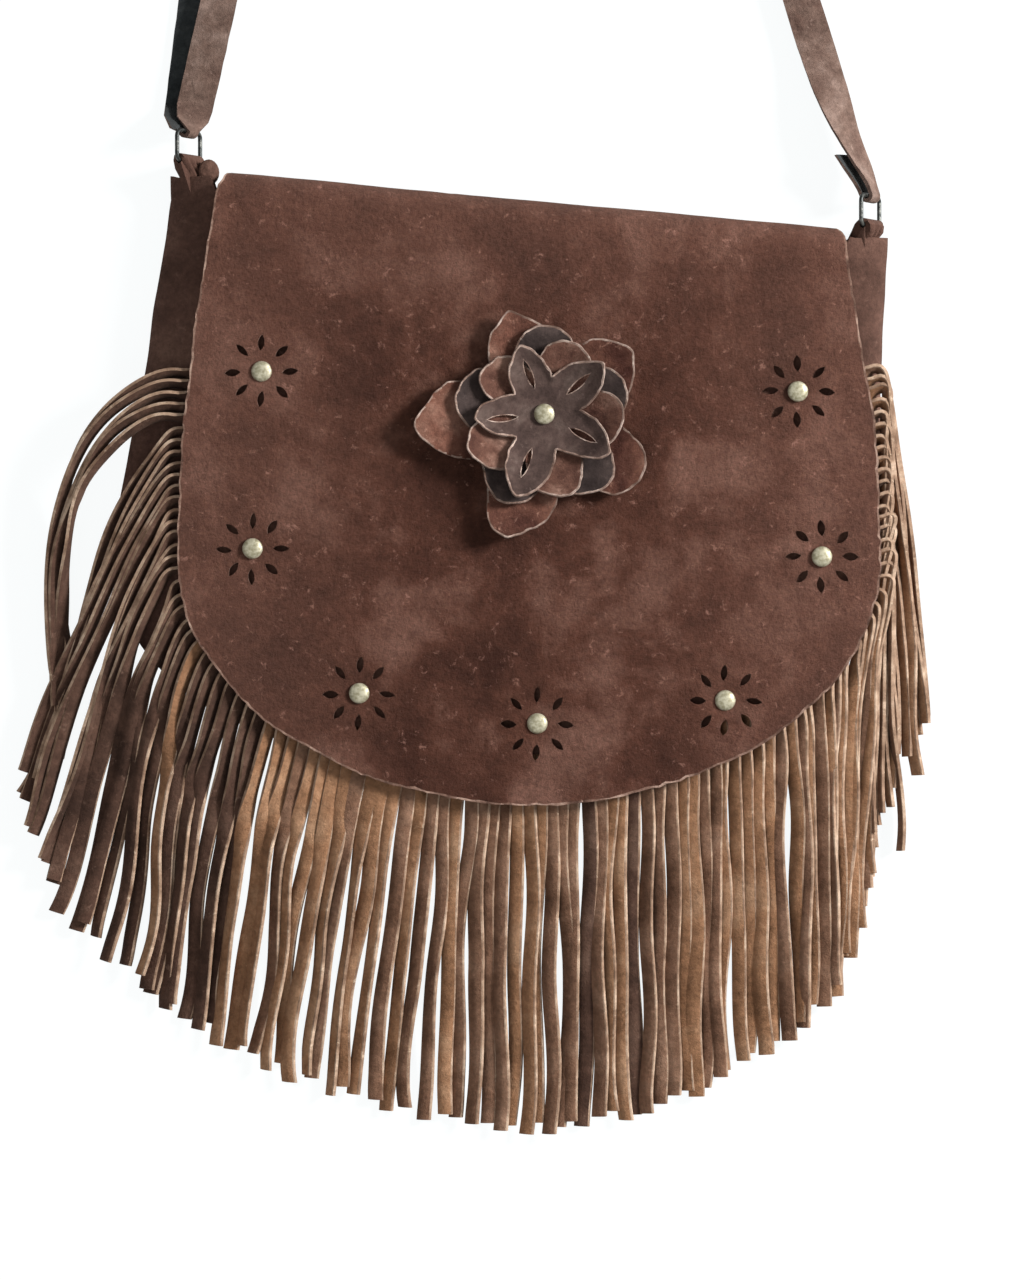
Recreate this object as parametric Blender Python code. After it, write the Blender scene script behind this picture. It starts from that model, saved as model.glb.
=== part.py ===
"""Fringed suede shoulder bag, lying on its back panel.

Metres. +X is the wearer's left to right across the flap, +Y runs up to the strap, +Z is away from the back
panel. The origin is on the outer face of the back panel, in the middle of the bag.
"""

import math

import bmesh
import bpy
from mathutils import Vector

# Suede and fits
SUEDE = 0.0014
PETAL_SUEDE = 0.0012
SEAM_GAP = 0.0003
SEAM_ALLOWANCE = 0.0065

# Body of the bag
BODY_DEPTH = 0.022
BODY_HALF_WIDTH = 0.1385
BODY_TOP_HALF_WIDTH = 0.1265
BODY_BOTTOM_Y = -0.104
BACK_SPREAD_LEFT = 0.008
BACK_SPREAD_SHARE = 0.46
MOUTH_BELOW_FOLD = 0.0138
GUSSET_RISE = 0.0085
GUSSET_BULGES = (
    (0.00, 0.0170),
    (0.12, 0.0220),
    (0.24, 0.0310),
    (0.34, 0.0200),
    (0.44, 0.0070),
    (0.60, 0.0060),
    (0.86, 0.0070),
    (0.94, 0.0120),
    (1.00, 0.0200),
)
# How the gusset folds out between its two seams: shares of its bulge and of the drop from front to back
GUSSET_SECTION = ((0.62, 0.24), (1.00, 0.55), (0.62, 0.80))
GUSSET_TOP_SECTION = ((0.62, 0.18), (0.86, 0.34), (1.00, 0.55), (0.86, 0.68), (0.62, 0.74))
GUSSET_TOP_DROPS = (0.24, 0.64)

# Flap
FLAP_TOP_HALF_WIDTH = 0.1293
FLAP_HALF_WIDTH = 0.1435
WIDEST_Y = -0.0246
FLAP_BOTTOM_Y = -0.1245
FLAP_CLEARANCE = 0.0013
FOLD_Y = 0.1228
FOLD_SLOPE = math.radians(-5.2)

# Rosettes punched in the flap, each round one domed rivet
ROSETTES = (
    (-0.1095, 0.0521),
    (-0.1132, -0.0201),
    (-0.0697, -0.0791),
    (0.0029, -0.0914),
    (0.0795, -0.0820),
    (0.1189, -0.0234),
    (0.1091, 0.0439),
)
PETALS_PER_ROSETTE = 8
PUNCH_RADIUS = 0.0115
PUNCH_LENGTH = 0.0066
PUNCH_WIDTH = 0.0030
RIVET_CAP_RADIUS = 0.0042
RIVET_CAP_HEIGHT = 0.0017
RIVET_SHANK_RADIUS = 0.0012
RIVET_HOLE_RADIUS = 0.0016
RIVET_BACK_RADIUS = 0.0036
RIVET_BACK_THICKNESS = 0.0005
RIVET_DOME = ((1.0, 0.0), (0.80, 0.62), (0.42, 0.92), (0.0, 1.0))

# Flower of four petalled layers: every petal is the angle of its tip in degrees and its reach
FLOWER_CENTRE = (0.0057, 0.0344)
FLOWER_LAYERS = (
    ((37, 0.0450), (111, 0.0455), (185, 0.0535), (253, 0.0530), (324, 0.0490)),
    ((21, 0.0356), (89, 0.0365), (166, 0.0367), (242, 0.0389), (307, 0.0380)),
    ((-4, 0.0320), (70, 0.0310), (141, 0.0300), (208, 0.0343), (277, 0.0347)),
    ((41, 0.0310), (111, 0.0290), (186, 0.0285), (250, 0.0355), (331, 0.0300)),
)
LAYER_NOTCH_RADII = (0.0190, 0.0170, 0.0160, 0.0157)
LAYER_CURLS = (0.0040, 0.0060, 0.0090, 0.0125)
CURL_RADIUS = 0.0500
LAYER_GAP = 0.0005
# The two edges of a petal: shares of the turn between notch and tip, and of its reach past the notch
PETAL_RISE = ((0.22, 0.46), (0.56, 0.82))
PETAL_FALL = ((0.44, 0.82), (0.78, 0.46))
PETAL_BEND_SHARE = 0.55

# Fringe cut from strips of suede sewn into the front seam
STRIP_WIDTH = 0.0048
STRIP_PITCH = 0.0058
FRINGE_TOP_Y = 0.056
FRINGE_SUEDE = 0.0013
STRIP_REST_HEIGHT = 0.0031
STRIP_GAP = 0.0008
LEFT_TWISTED_BY = 0.20
RIGHT_TWISTED_BY = 0.11
STRIP_STATION_POWER = 1.3
STRIP_START_PULL = 0.016
STRIP_REACH_PULL = 2.3
STRIP_END_PULL = 0.75
STRIP_DROP_SHARES = (0.12, 0.92)
LEFT_FRINGE_SHARE = 0.22
RIGHT_FRINGE_SHARE = 0.20
# Places along the fringe, from its left top end at 0 to its right one at 1: where a strip ends up across the
# bag, how its tip leans from straight down in degrees (right is positive), and how long it was cut
HANGING_PLACES = (
    (0.00, -0.2040),
    (0.05, -0.1945),
    (0.10, -0.1850),
    (0.15, -0.1755),
    (0.20, -0.1655),
    (0.25, -0.1510),
    (0.30, -0.1280),
    (0.40, -0.0680),
    (0.50, -0.0020),
    (0.60, 0.0530),
    (0.70, 0.1040),
    (0.76, 0.1250),
    (0.80, 0.1350),
    (0.85, 0.1440),
    (0.90, 0.1530),
    (0.95, 0.1622),
    (1.00, 0.1715),
)
TIP_LEANS = ((0.00, -12.0), (0.10, -11.0), (0.20, -9.0), (0.30, -6.0), (0.50, 0.0), (0.75, 3.0), (1.00, 5.0))
STRIP_LENGTHS = (
    (0.00, 0.158),
    (0.12, 0.159),
    (0.25, 0.148),
    (0.38, 0.150),
    (0.50, 0.156),
    (0.62, 0.151),
    (0.75, 0.142),
    (0.88, 0.148),
    (1.00, 0.158),
)

# Strap with its rings, tabs and adjuster
STRAP_WIDTH = 0.0148
STRAP_SUEDE = 0.0016
STRAP_TURN_RADIUS = 0.0440
STRAP_LIE = 0.0017
STRAP_LEFT_RUN = math.radians(12.6)
STRAP_RIGHT_RUN = math.radians(17.2)
STRAP_SPREAD = 0.0105
STRAP_TIP_START = 0.175
RING_TWIST_LENGTH = 0.075
RING_WIRE_RADIUS = 0.0009
RING_INNER_LENGTH = 0.0162
RING_INNER_HEIGHT = 0.0105
RING_CORNER_RADIUS = 0.0026
RING_TURN = math.radians(62)
RING_LEFT = (-0.1400, 0.1450)
RING_RIGHT = (0.1394, 0.1185)
WIRE_FIT = 0.0004
TAB_WIDTH = 0.0150
TAB_THICKNESS = 0.0056
ADJUSTER_UP_STRAP = 0.155
ADJUSTER_LENGTH = 0.0200
ADJUSTER_BAR = 0.0022
ADJUSTER_METAL = 0.0012
TURNED_END_LENGTH = 0.024
STRAP_SPREAD_SHARES = (0.040, 0.060)
# Lengths from the ring, or the adjuster's middle bar, at which the strap is drawn
END_STATIONS = (0.016, 0.006)
BACK_LAYER_STATIONS = (0.140, 0.112, 0.090, 0.072, 0.058, 0.045, 0.032, 0.020, 0.010, 0.0)
FRONT_LAYER_STATIONS = (0.0, 0.010, 0.020, 0.032, 0.044, 0.056, 0.072, 0.120, STRAP_TIP_START)
RIGHT_LAYER_STATIONS = (0.062, 0.051, 0.040, 0.029, 0.018, 0.009, 0.0)
TIPPING_STEPS = 8


def clear_scene():
    """Removes whatever the file opened with."""
    for obj in list(bpy.data.objects):
        bpy.data.objects.remove(obj, do_unlink=True)


def material(name, colour, roughness, metallic=0.0):
    """A plain Principled material."""
    made = bpy.data.materials.get(name)
    if made is None:
        made = bpy.data.materials.new(name)
        made.use_nodes = True
        shader = made.node_tree.nodes["Principled BSDF"]
        shader.inputs["Base Color"].default_value = (*colour, 1.0)
        shader.inputs["Roughness"].default_value = roughness
        shader.inputs["Metallic"].default_value = metallic
        made.diffuse_color = (*colour, 1.0)
    return made


def suede():
    return material("brown_suede", (0.130, 0.058, 0.042), 0.95)


def fringe_suede():
    return material("fringe_suede", (0.190, 0.105, 0.068), 0.95)


def dark_suede():
    return material("dark_petal_suede", (0.062, 0.040, 0.036), 0.85)


def strap_suede():
    return material("strap_suede", (0.230, 0.160, 0.130), 0.90)


def brass():
    return material("aged_brass", (0.480, 0.430, 0.290), 0.35, 1.0)


def dark_metal():
    return material("dark_metal", (0.060, 0.065, 0.060), 0.40, 1.0)


def place(name, mesh, finish):
    """An object for a finished mesh."""
    mesh.materials.append(finish)
    obj = bpy.data.objects.new(name, mesh)
    bpy.context.scene.collection.objects.link(obj)
    return obj


def mesh_from(name, points, faces):
    """A mesh with its faces turned outwards."""
    mesh = bpy.data.meshes.new(name)
    mesh.from_pydata([tuple(point) for point in points], [], faces)
    shape = bmesh.new()
    shape.from_mesh(mesh)
    bmesh.ops.recalc_face_normals(shape, faces=shape.faces)
    shape.to_mesh(mesh)
    shape.free()
    return mesh


def smoothstep(value):
    value = min(max(value, 0.0), 1.0)
    return value * value * (3.0 - 2.0 * value)


def eased(places, share):
    """A smooth curve read at share, through (share, value) places."""
    index = 1
    while index < len(places) - 1 and places[index][0] < share:
        index += 1
    before, here = places[index - 1], places[index]
    first = places[max(index - 2, 0)]
    last = places[min(index + 1, len(places) - 1)]
    span = here[0] - before[0]
    start_slope = (here[1] - first[1]) / (here[0] - first[0])
    end_slope = (last[1] - before[1]) / (last[0] - before[0])
    t = (share - before[0]) / span
    return (
        before[1] * (2 * t**3 - 3 * t**2 + 1)
        + start_slope * span * (t**3 - 2 * t**2 + t)
        + here[1] * (3 * t**2 - 2 * t**3)
        + end_slope * span * (t**3 - t**2)
    )


def band_faces(rim, ring):
    """Faces between two sections of a flat band. Its two wide faces are split along matching diagonals, so
    they stay apart where the band twists."""
    return [
        (rim[0], rim[1], ring[1]),
        (rim[0], ring[1], ring[0]),
        (rim[1], rim[2], ring[2], ring[1]),
        (rim[2], rim[3], ring[2]),
        (rim[3], ring[3], ring[2]),
        (rim[3], rim[0], ring[0], ring[3]),
    ]


def swept_band(centres, across, normals, width, thickness):
    """Points and faces of a closed flat band along centres, across and normals giving how it lies at each."""
    points = []
    for centre, side, normal in zip(centres, across, normals):
        half_side = side * width / 2
        half_normal = normal * thickness / 2
        points.append(centre - half_side - half_normal)
        points.append(centre + half_side - half_normal)
        points.append(centre + half_side + half_normal)
        points.append(centre - half_side + half_normal)
    faces = [(3, 2, 1, 0)]
    for section in range(len(centres) - 1):
        first = 4 * section
        faces.extend(band_faces(range(first, first + 4), range(first + 4, first + 8)))
    last = 4 * (len(centres) - 1)
    faces.append((last, last + 1, last + 2, last + 3))
    return points, faces


# The fold over the top of the bag, and the way that leads off the bag square to it
FOLD_RADIUS = (BODY_DEPTH + FLAP_CLEARANCE + SUEDE) / 2
AWAY = Vector((-math.sin(FOLD_SLOPE), math.cos(FOLD_SLOPE), 0.0))
SEAM_Z = BODY_DEPTH - SUEDE - SEAM_GAP - FRINGE_SUEDE / 2


def fold_y(x, below=0.0):
    """Height of the line that lies below the fold's crest, at x."""
    return FOLD_Y - below / math.cos(FOLD_SLOPE) + x * math.tan(FOLD_SLOPE)


def bag_outline(top_half, wide_half, bottom_y, top_below, steps):
    """The U of a panel from its top left corner round to its top right one: sides that flare to the widest
    line, then half an ellipse."""
    points = []
    side_steps = steps // 3
    for side in (-1, 1):
        top_y = fold_y(side * top_half, top_below)
        run = []
        for step in range(side_steps):
            share = step / side_steps
            half = top_half + (wide_half - top_half) * math.sin(share * math.pi / 2)
            run.append(Vector((side * half, top_y + (WIDEST_Y - top_y) * share, 0.0)))
        if side < 0:
            points.extend(run)
            for step in range(steps + 1):
                turn = math.pi * step / steps
                y = WIDEST_Y + (bottom_y - WIDEST_Y) * math.sin(turn)
                points.append(Vector((-wide_half * math.cos(turn), y, 0.0)))
        else:
            points.extend(reversed(run))
    return points


class Seam:
    """The front seam as a line that is walked by its length, with its outward direction."""

    def __init__(self):
        self.points = bag_outline(
            BODY_TOP_HALF_WIDTH, BODY_HALF_WIDTH, BODY_BOTTOM_Y, MOUTH_BELOW_FOLD, 96
        )
        self.lengths = [0.0]
        for before, after in zip(self.points, self.points[1:]):
            self.lengths.append(self.lengths[-1] + (after - before).length)

    def at(self, distance):
        """The point and the outward direction at a distance from the top left corner."""
        index = 1
        while index < len(self.lengths) - 1 and self.lengths[index] < distance:
            index += 1
        span = self.lengths[index] - self.lengths[index - 1]
        share = (distance - self.lengths[index - 1]) / span
        before = self.points[max(index - 2, 0)]
        after = self.points[min(index + 1, len(self.points) - 1)]
        point = self.points[index - 1].lerp(self.points[index], share)
        run = (after - before).normalized()
        return point, Vector((run.y, -run.x, 0.0))

    def distance_at_height(self, height, side):
        """How far along the seam its left (-1) or right (1) side passes a height."""
        span = range(len(self.points))
        for index in span if side < 0 else reversed(span):
            if self.points[index].y < height:
                return self.lengths[index]
        return 0.0


SEAM = Seam()


def back_spread(share):
    """How far the back panel stands out past the front seam: the bag leans to its left."""
    return BACK_SPREAD_LEFT * math.sin(math.pi * min(share / BACK_SPREAD_SHARE, 1.0))


def panel(name, outline, low, finish):
    """A flat panel of suede from its outline."""
    count = len(outline)
    points = [Vector((p.x, p.y, low)) for p in outline]
    points += [Vector((p.x, p.y, low + SUEDE)) for p in outline]
    faces = [tuple(reversed(range(count))), tuple(range(count, 2 * count))]
    for index in range(count):
        after = (index + 1) % count
        faces.append((index, after, count + after, count + index))
    return place(name, mesh_from(name, points, faces), finish)


def folded_panel(name, outline, low, up, finish):
    """A flat panel whose straight top edge turns through a quarter circle to the crest of the fold.

    up is 1 where the panel climbs to the crest from below it and -1 where it drops to it from above."""
    steps = 4
    count = len(outline)
    outer_z = low if up > 0 else low + SUEDE
    inner_z = low + SUEDE if up > 0 else low
    points = [Vector((p.x, p.y, outer_z)) for p in outline]
    points += [Vector((p.x, p.y, inner_z)) for p in outline]
    faces = [tuple(range(count)), tuple(range(count, 2 * count))]
    for index in range(count - 1):
        faces.append((index, index + 1, count + index + 1, count + index))
    crest_gap = SEAM_GAP / 2 / FOLD_RADIUS
    rim = (0, count - 1, 2 * count - 1, count)
    for step in range(1, steps + 1):
        turn = (math.pi / 2 - crest_gap) * step / steps
        ring = []
        for corner, radius in (
            (outline[0], FOLD_RADIUS),
            (outline[-1], FOLD_RADIUS),
            (outline[-1], FOLD_RADIUS - SUEDE),
            (outline[0], FOLD_RADIUS - SUEDE),
        ):
            lift = FOLD_RADIUS - up * radius * math.cos(turn)
            ring.append(len(points))
            points.append(Vector((corner.x, corner.y, lift)) + AWAY * radius * math.sin(turn))
        for edge in range(4):
            after = (edge + 1) % 4
            faces.append((rim[edge], rim[after], ring[after], ring[edge]))
        rim = ring
    faces.append(tuple(rim))
    return place(name, mesh_from(name, points, faces), finish)


def make_back_panel():
    """The back panel, which climbs to the crest of the fold."""
    outline = bag_outline(
        BODY_TOP_HALF_WIDTH, BODY_HALF_WIDTH, BODY_BOTTOM_Y, FOLD_RADIUS, 30
    )
    for point in outline:
        if point.x < 0:
            height = (fold_y(point.x, FOLD_RADIUS) - point.y) / (FOLD_Y - BODY_BOTTOM_Y)
            point.x -= BACK_SPREAD_LEFT * math.sin(math.pi * min(max(height, 0.0), 1.0))
    return folded_panel("back_panel", outline, 0.0, 1, suede())


def make_front_panel():
    outline = bag_outline(
        BODY_TOP_HALF_WIDTH, BODY_HALF_WIDTH, BODY_BOTTOM_Y, MOUTH_BELOW_FOLD, 30
    )
    return panel("front_panel", outline, BODY_DEPTH - SUEDE, suede())


def make_gusset():
    """One long strip between the panels, with a flange on each seam, folded outwards between them. Its two
    ends rise past the mouth, clear of the flap's fold."""
    front_z = SEAM_Z - FRINGE_SUEDE / 2 - SEAM_GAP - SUEDE / 2
    back_z = SUEDE + SEAM_GAP + SUEDE / 2
    drop = front_z - back_z
    clear = FLAP_TOP_HALF_WIDTH - BODY_TOP_HALF_WIDTH + SUEDE
    stations = 26
    sections = []
    for station in range(stations + 1):
        share = station / stations
        point, outward = SEAM.at(SEAM.lengths[-1] * share)
        bulge = eased(GUSSET_BULGES, share)
        spread = back_spread(share)
        section = [(-SEAM_ALLOWANCE, front_z), (0.0, front_z)]
        for out, down in GUSSET_SECTION:
            leaning = spread * down
            section.append((leaning + out * (bulge - leaning), front_z - down * drop))
        section += [(spread, back_z), (spread - SEAM_ALLOWANCE, back_z)]
        if station in (0, stations):
            top = [(out * bulge, front_z - down * drop) for out, down in GUSSET_TOP_SECTION]
            top.insert(0, (clear, front_z - GUSSET_TOP_DROPS[0] * drop))
            top.append((clear, front_z - GUSSET_TOP_DROPS[1] * drop))
            side = math.copysign(1.0, point.x)
            raised = [Vector((point.x + side * reach, point.y + GUSSET_RISE, high)) for reach, high in top]
        sections.append([Vector((point.x, point.y, high)) + outward * reach for reach, high in section])
        if station == 0:
            sections.insert(0, raised)
        if station == stations:
            sections.append(raised)
    rows = len(sections[0])
    points = [point for section in sections for point in section]
    faces = []
    for station in range(len(sections) - 1):
        for row in range(rows - 1):
            first = rows * station + row
            faces.append((first, first + 1, first + rows + 1, first + rows))
    made = place("gusset", mesh_from("gusset", points, faces), suede())
    wall = made.modifiers.new("suede", "SOLIDIFY")
    wall.thickness = SUEDE
    wall.offset = 0.0
    return made


def pointed_oval(length, width, centre, turn, low, high, steps=4):
    """Points and faces of a prism over a pointed oval."""
    ring = []
    for side in (1, -1):
        for step in range(steps):
            share = step / steps
            along = side * length * (0.5 - share)
            ring.append((along, side * width / 2 * math.sin(math.pi * share)))
    points = []
    for height in (low, high):
        for along, across in ring:
            x = centre[0] + along * math.cos(turn) - across * math.sin(turn)
            y = centre[1] + along * math.sin(turn) + across * math.cos(turn)
            points.append(Vector((x, y, height)))
    count = len(ring)
    faces = [tuple(reversed(range(count))), tuple(range(count, 2 * count))]
    for index in range(count):
        after = (index + 1) % count
        faces.append((index, after, count + after, count + index))
    return points, faces


def round_hole(radius, centre, low, high, steps=8):
    """Points and faces of a cylinder."""
    points = []
    for height in (low, high):
        for step in range(steps):
            turn = 2 * math.pi * step / steps
            x = centre[0] + radius * math.cos(turn)
            y = centre[1] + radius * math.sin(turn)
            points.append(Vector((x, y, height)))
    faces = [tuple(reversed(range(steps))), tuple(range(steps, 2 * steps))]
    for index in range(steps):
        after = (index + 1) % steps
        faces.append((index, after, steps + after, steps + index))
    return points, faces


def gather(shapes):
    """One list of points and faces from several."""
    points = []
    faces = []
    for shape_points, shape_faces in shapes:
        start = len(points)
        points.extend(shape_points)
        faces.extend([tuple(start + corner for corner in face) for face in shape_faces])
    return points, faces


FLAP_LOW = BODY_DEPTH + FLAP_CLEARANCE


def make_flap():
    """The flap with its punched rosettes, from the crest of the fold down over the front."""
    outline = bag_outline(
        FLAP_TOP_HALF_WIDTH, FLAP_HALF_WIDTH, FLAP_BOTTOM_Y, FOLD_RADIUS, 33
    )
    made = folded_panel("flap", outline, FLAP_LOW, -1, suede())
    low = FLAP_LOW - SUEDE
    high = FLAP_LOW + 2 * SUEDE
    shapes = [round_hole(RIVET_HOLE_RADIUS, FLOWER_CENTRE, low, high)]
    for centre in ROSETTES:
        shapes.append(round_hole(RIVET_HOLE_RADIUS, centre, low, high))
        for petal in range(PETALS_PER_ROSETTE):
            turn = 2 * math.pi * petal / PETALS_PER_ROSETTE
            punch = (
                centre[0] + PUNCH_RADIUS * math.cos(turn),
                centre[1] + PUNCH_RADIUS * math.sin(turn),
            )
            shapes.append(pointed_oval(PUNCH_LENGTH, PUNCH_WIDTH, punch, turn, low, high, 3))
    points, faces = gather(shapes)
    punches = place("flap_punches", mesh_from("flap_punches", points, faces), suede())
    punches.hide_render = True
    punches.display_type = "WIRE"
    cut = made.modifiers.new("punched", "BOOLEAN")
    cut.operation = "DIFFERENCE"
    cut.object = punches
    return made


def turned(name, profile, centre, finish, steps):
    """A solid turned about a vertical line at centre, from (radius, height) points that run up the outside.
    The first and the last are on the line."""
    points = [Vector((centre[0], centre[1], profile[0][1]))]
    for radius, height in profile[1:-1]:
        for step in range(steps):
            turn = 2 * math.pi * step / steps
            x = centre[0] + radius * math.cos(turn)
            y = centre[1] + radius * math.sin(turn)
            points.append(Vector((x, y, height)))
    points.append(Vector((centre[0], centre[1], profile[-1][1])))
    faces = []
    rings = len(profile) - 2
    for step in range(steps):
        after = (step + 1) % steps
        faces.append((0, 1 + after, 1 + step))
        for ring in range(rings - 1):
            low = 1 + ring * steps
            faces.append((low + step, low + after, low + steps + after, low + steps + step))
        top = 1 + (rings - 1) * steps
        faces.append((top + step, top + after, len(points) - 1))
    mesh = mesh_from(name, points, faces)
    mesh.shade_smooth()
    mesh.set_sharp_from_angle(angle=math.radians(40))
    return place(name, mesh, finish)


def make_rivet(name, centre, cap_seat):
    """A domed rivet: cap on the front, shank through the suede, flat back under the flap."""
    back_top = FLAP_LOW - SEAM_GAP
    back_low = back_top - RIVET_BACK_THICKNESS
    cap_low = cap_seat + SEAM_GAP
    profile = [
        (0.0, back_low),
        (RIVET_BACK_RADIUS, back_low),
        (RIVET_BACK_RADIUS, back_top),
        (RIVET_SHANK_RADIUS, back_top),
        (RIVET_SHANK_RADIUS, cap_low),
    ]
    for out, up in RIVET_DOME:
        profile.append((RIVET_CAP_RADIUS * out, cap_low + RIVET_CAP_HEIGHT * up))
    return turned(name, profile, centre, brass(), 10)


def layer_low(index):
    """The underside of a flower layer at its middle."""
    return FLAP_LOW + SUEDE + LAYER_GAP + index * (PETAL_SUEDE + LAYER_GAP)


def make_petal_layer(index):
    """One layer of five petals cut from a single piece of suede, its tips curling up."""
    petals = FLOWER_LAYERS[index]
    notch = LAYER_NOTCH_RADII[index]
    low = layer_low(index)
    outline = []
    for number, (tip, reach) in enumerate(petals):
        before = petals[number - 1][0] - (360 if number == 0 else 0)
        after = petals[(number + 1) % 5][0] + (360 if number == 4 else 0)
        start = (before + tip) / 2
        end = (tip + after) / 2
        outline.append((start, notch))
        for turned_by, out in PETAL_RISE:
            outline.append((start + (tip - start) * turned_by, notch + (reach - notch) * out))
        outline.append((tip, reach))
        for turned_by, out in PETAL_FALL:
            outline.append((tip + (end - tip) * turned_by, notch + (reach - notch) * out))
    rings = []
    for share in (1.0, PETAL_BEND_SHARE, 0.0):
        rings.append(
            [(angle, RIVET_HOLE_RADIUS + (reach - RIVET_HOLE_RADIUS) * share) for angle, reach in outline]
        )
    count = len(outline)
    points = []
    for lift in (0.0, PETAL_SUEDE):
        for ring in rings:
            for angle, radius in ring:
                turn = math.radians(angle)
                curl = LAYER_CURLS[index] * (radius / CURL_RADIUS) ** 2
                points.append(
                    Vector(
                        (
                            FLOWER_CENTRE[0] + radius * math.cos(turn),
                            FLOWER_CENTRE[1] + radius * math.sin(turn),
                            low + lift + curl,
                        )
                    )
                )
    faces = []
    for step in range(count):
        after = (step + 1) % count
        for side in range(2):
            for ring in range(2):
                first = side * 3 * count + ring * count
                faces.append((first + step, first + after, first + count + after, first + count + step))
        for ring in (0, 2):
            first = ring * count
            top = 3 * count + first
            faces.append((first + step, first + after, top + after, top + step))
    finish = suede() if index in (0, 2) else dark_suede()
    name = f"flower_layer_{index + 1}"
    return place(name, mesh_from(name, points, faces), finish)


def strip_count():
    """How many strips fit between the fringe's two top ends."""
    start = SEAM.distance_at_height(FRINGE_TOP_Y, -1)
    end = SEAM.distance_at_height(FRINGE_TOP_Y, 1)
    return int((end - start) / STRIP_PITCH)


def strip_route(root, outward, share):
    """Centres along one strip: out of the seam, over the gusset, then down the bag to lie beside its
    neighbours. The height of its tip is found from the length of the strip."""
    target_x = eased(HANGING_PLACES, share)
    lean = math.radians(eased(TIP_LEANS, share))
    wanted = eased(STRIP_LENGTHS, share)
    sideways_reach = abs(target_x - root.x) * abs(outward.x)
    start_pull = outward * (STRIP_START_PULL + STRIP_REACH_PULL * sideways_reach)

    def route(end_y):
        end = Vector((target_x, end_y, 0.0))
        end_pull = Vector((math.sin(lean), -math.cos(lean), 0.0)) * STRIP_END_PULL * (root.y - end_y)
        made = []
        for step in range(25):
            t = step / 24
            made.append(
                root * (2 * t**3 - 3 * t**2 + 1)
                + start_pull * (t**3 - 2 * t**2 + t)
                + end * (3 * t**2 - 2 * t**3)
                + end_pull * (t**3 - t**2)
            )
        return made

    low = root.y - wanted
    high = root.y
    for _ in range(24):
        middle = (low + high) / 2
        if line_length(route(middle)) > wanted:
            low = middle
        else:
            high = middle
    return route((low + high) / 2)


def line_length(points):
    return sum((after - before).length for before, after in zip(points, points[1:]))


def resampled(points, steps):
    """Points along a line of points, closer together near its start, where a strip turns."""
    lengths = [0.0]
    for before, after in zip(points, points[1:]):
        lengths.append(lengths[-1] + (after - before).length)
    made = []
    for step in range(steps + 1):
        wanted = lengths[-1] * (step / steps) ** STRIP_STATION_POWER
        index = 1
        while index < len(lengths) - 1 and lengths[index] < wanted:
            index += 1
        share = (wanted - lengths[index - 1]) / (lengths[index] - lengths[index - 1])
        made.append(points[index - 1].lerp(points[index], share))
    return made


def make_fringe(name, first, last, total, start, finish):
    """A comb of strips on the band that is sewn into the seam, from the first to the last of all strips."""
    half_thickness = FRINGE_SUEDE / 2
    points = []
    faces = []
    previous = None
    for strip in range(first, last):
        middle = start + (strip + 0.5) * STRIP_PITCH
        share = (strip + 0.5) / total
        edges = []
        for side in (-1, 1):
            point, outward = SEAM.at(middle + side * STRIP_WIDTH / 2)
            edges.append((point, outward))
        stations = []
        for point, outward in edges:
            station = len(points)
            for reach, height in (
                (-SEAM_ALLOWANCE, -half_thickness),
                (-SEAM_ALLOWANCE, half_thickness),
                (0.0, half_thickness),
                (0.0, -half_thickness),
            ):
                points.append(Vector((point.x, point.y, SEAM_Z + height)) + outward * reach)
            stations.append(station)
        left, right = stations
        if previous is None:
            faces.append((left, left + 1, left + 2, left + 3))
        else:
            for edge in range(4):
                after = (edge + 1) % 4
                faces.append((previous + edge, previous + after, left + after, left + edge))
        for edge in (0, 1, 3):
            after = (edge + 1) % 4
            faces.append((left + edge, left + after, right + after, right + edge))
        previous = right

        root, outward = SEAM.at(middle)
        segments = 4 + round(2 * abs(2 * share - 1))
        centres = resampled(strip_route(root, outward, share), segments)
        rim = (left + 2, right + 2, right + 3, left + 3)
        beside = eased(HANGING_PLACES, share + 0.5 / total) - eased(HANGING_PLACES, share - 0.5 / total)
        room = max(beside - STRIP_GAP - FRINGE_SUEDE / 2, 0.0)
        edge_on = math.acos(min(room / STRIP_WIDTH, 1.0))
        handed = -1 if share < 0.5 else 1
        twisted_by = LEFT_TWISTED_BY if share < 0.5 else RIGHT_TWISTED_BY
        for step in range(1, segments + 1):
            run = (centres[step] - centres[step - 1]).normalized()
            if step < segments:
                run = (centres[step + 1] - centres[step - 1]).normalized()
            flat_side = Vector((-run.y, run.x, 0.0))
            travelled = (step / segments) ** STRIP_STATION_POWER
            twist = handed * edge_on * smoothstep(travelled / twisted_by)
            side = flat_side * math.cos(twist) + Vector((0, 0, 1)) * math.sin(twist)
            normal = run.cross(side)
            if normal.z < 0:
                normal = -normal
            drop_start, drop_end = STRIP_DROP_SHARES
            drop = smoothstep((travelled - drop_start) / (drop_end - drop_start))
            height = SEAM_Z + (STRIP_REST_HEIGHT - SEAM_Z) * drop
            centre = Vector((centres[step].x, centres[step].y, height))
            ring = []
            for across, along in ((-1, 1), (1, 1), (1, -1), (-1, -1)):
                ring.append(len(points))
                points.append(centre + side * across * STRIP_WIDTH / 2 + normal * along * half_thickness)
            faces.extend(band_faces(rim, ring))
            rim = ring
        faces.append(tuple(rim))
    faces.append((previous + 3, previous + 2, previous + 1, previous))
    return place(name, mesh_from(name, points, faces), finish)


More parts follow.
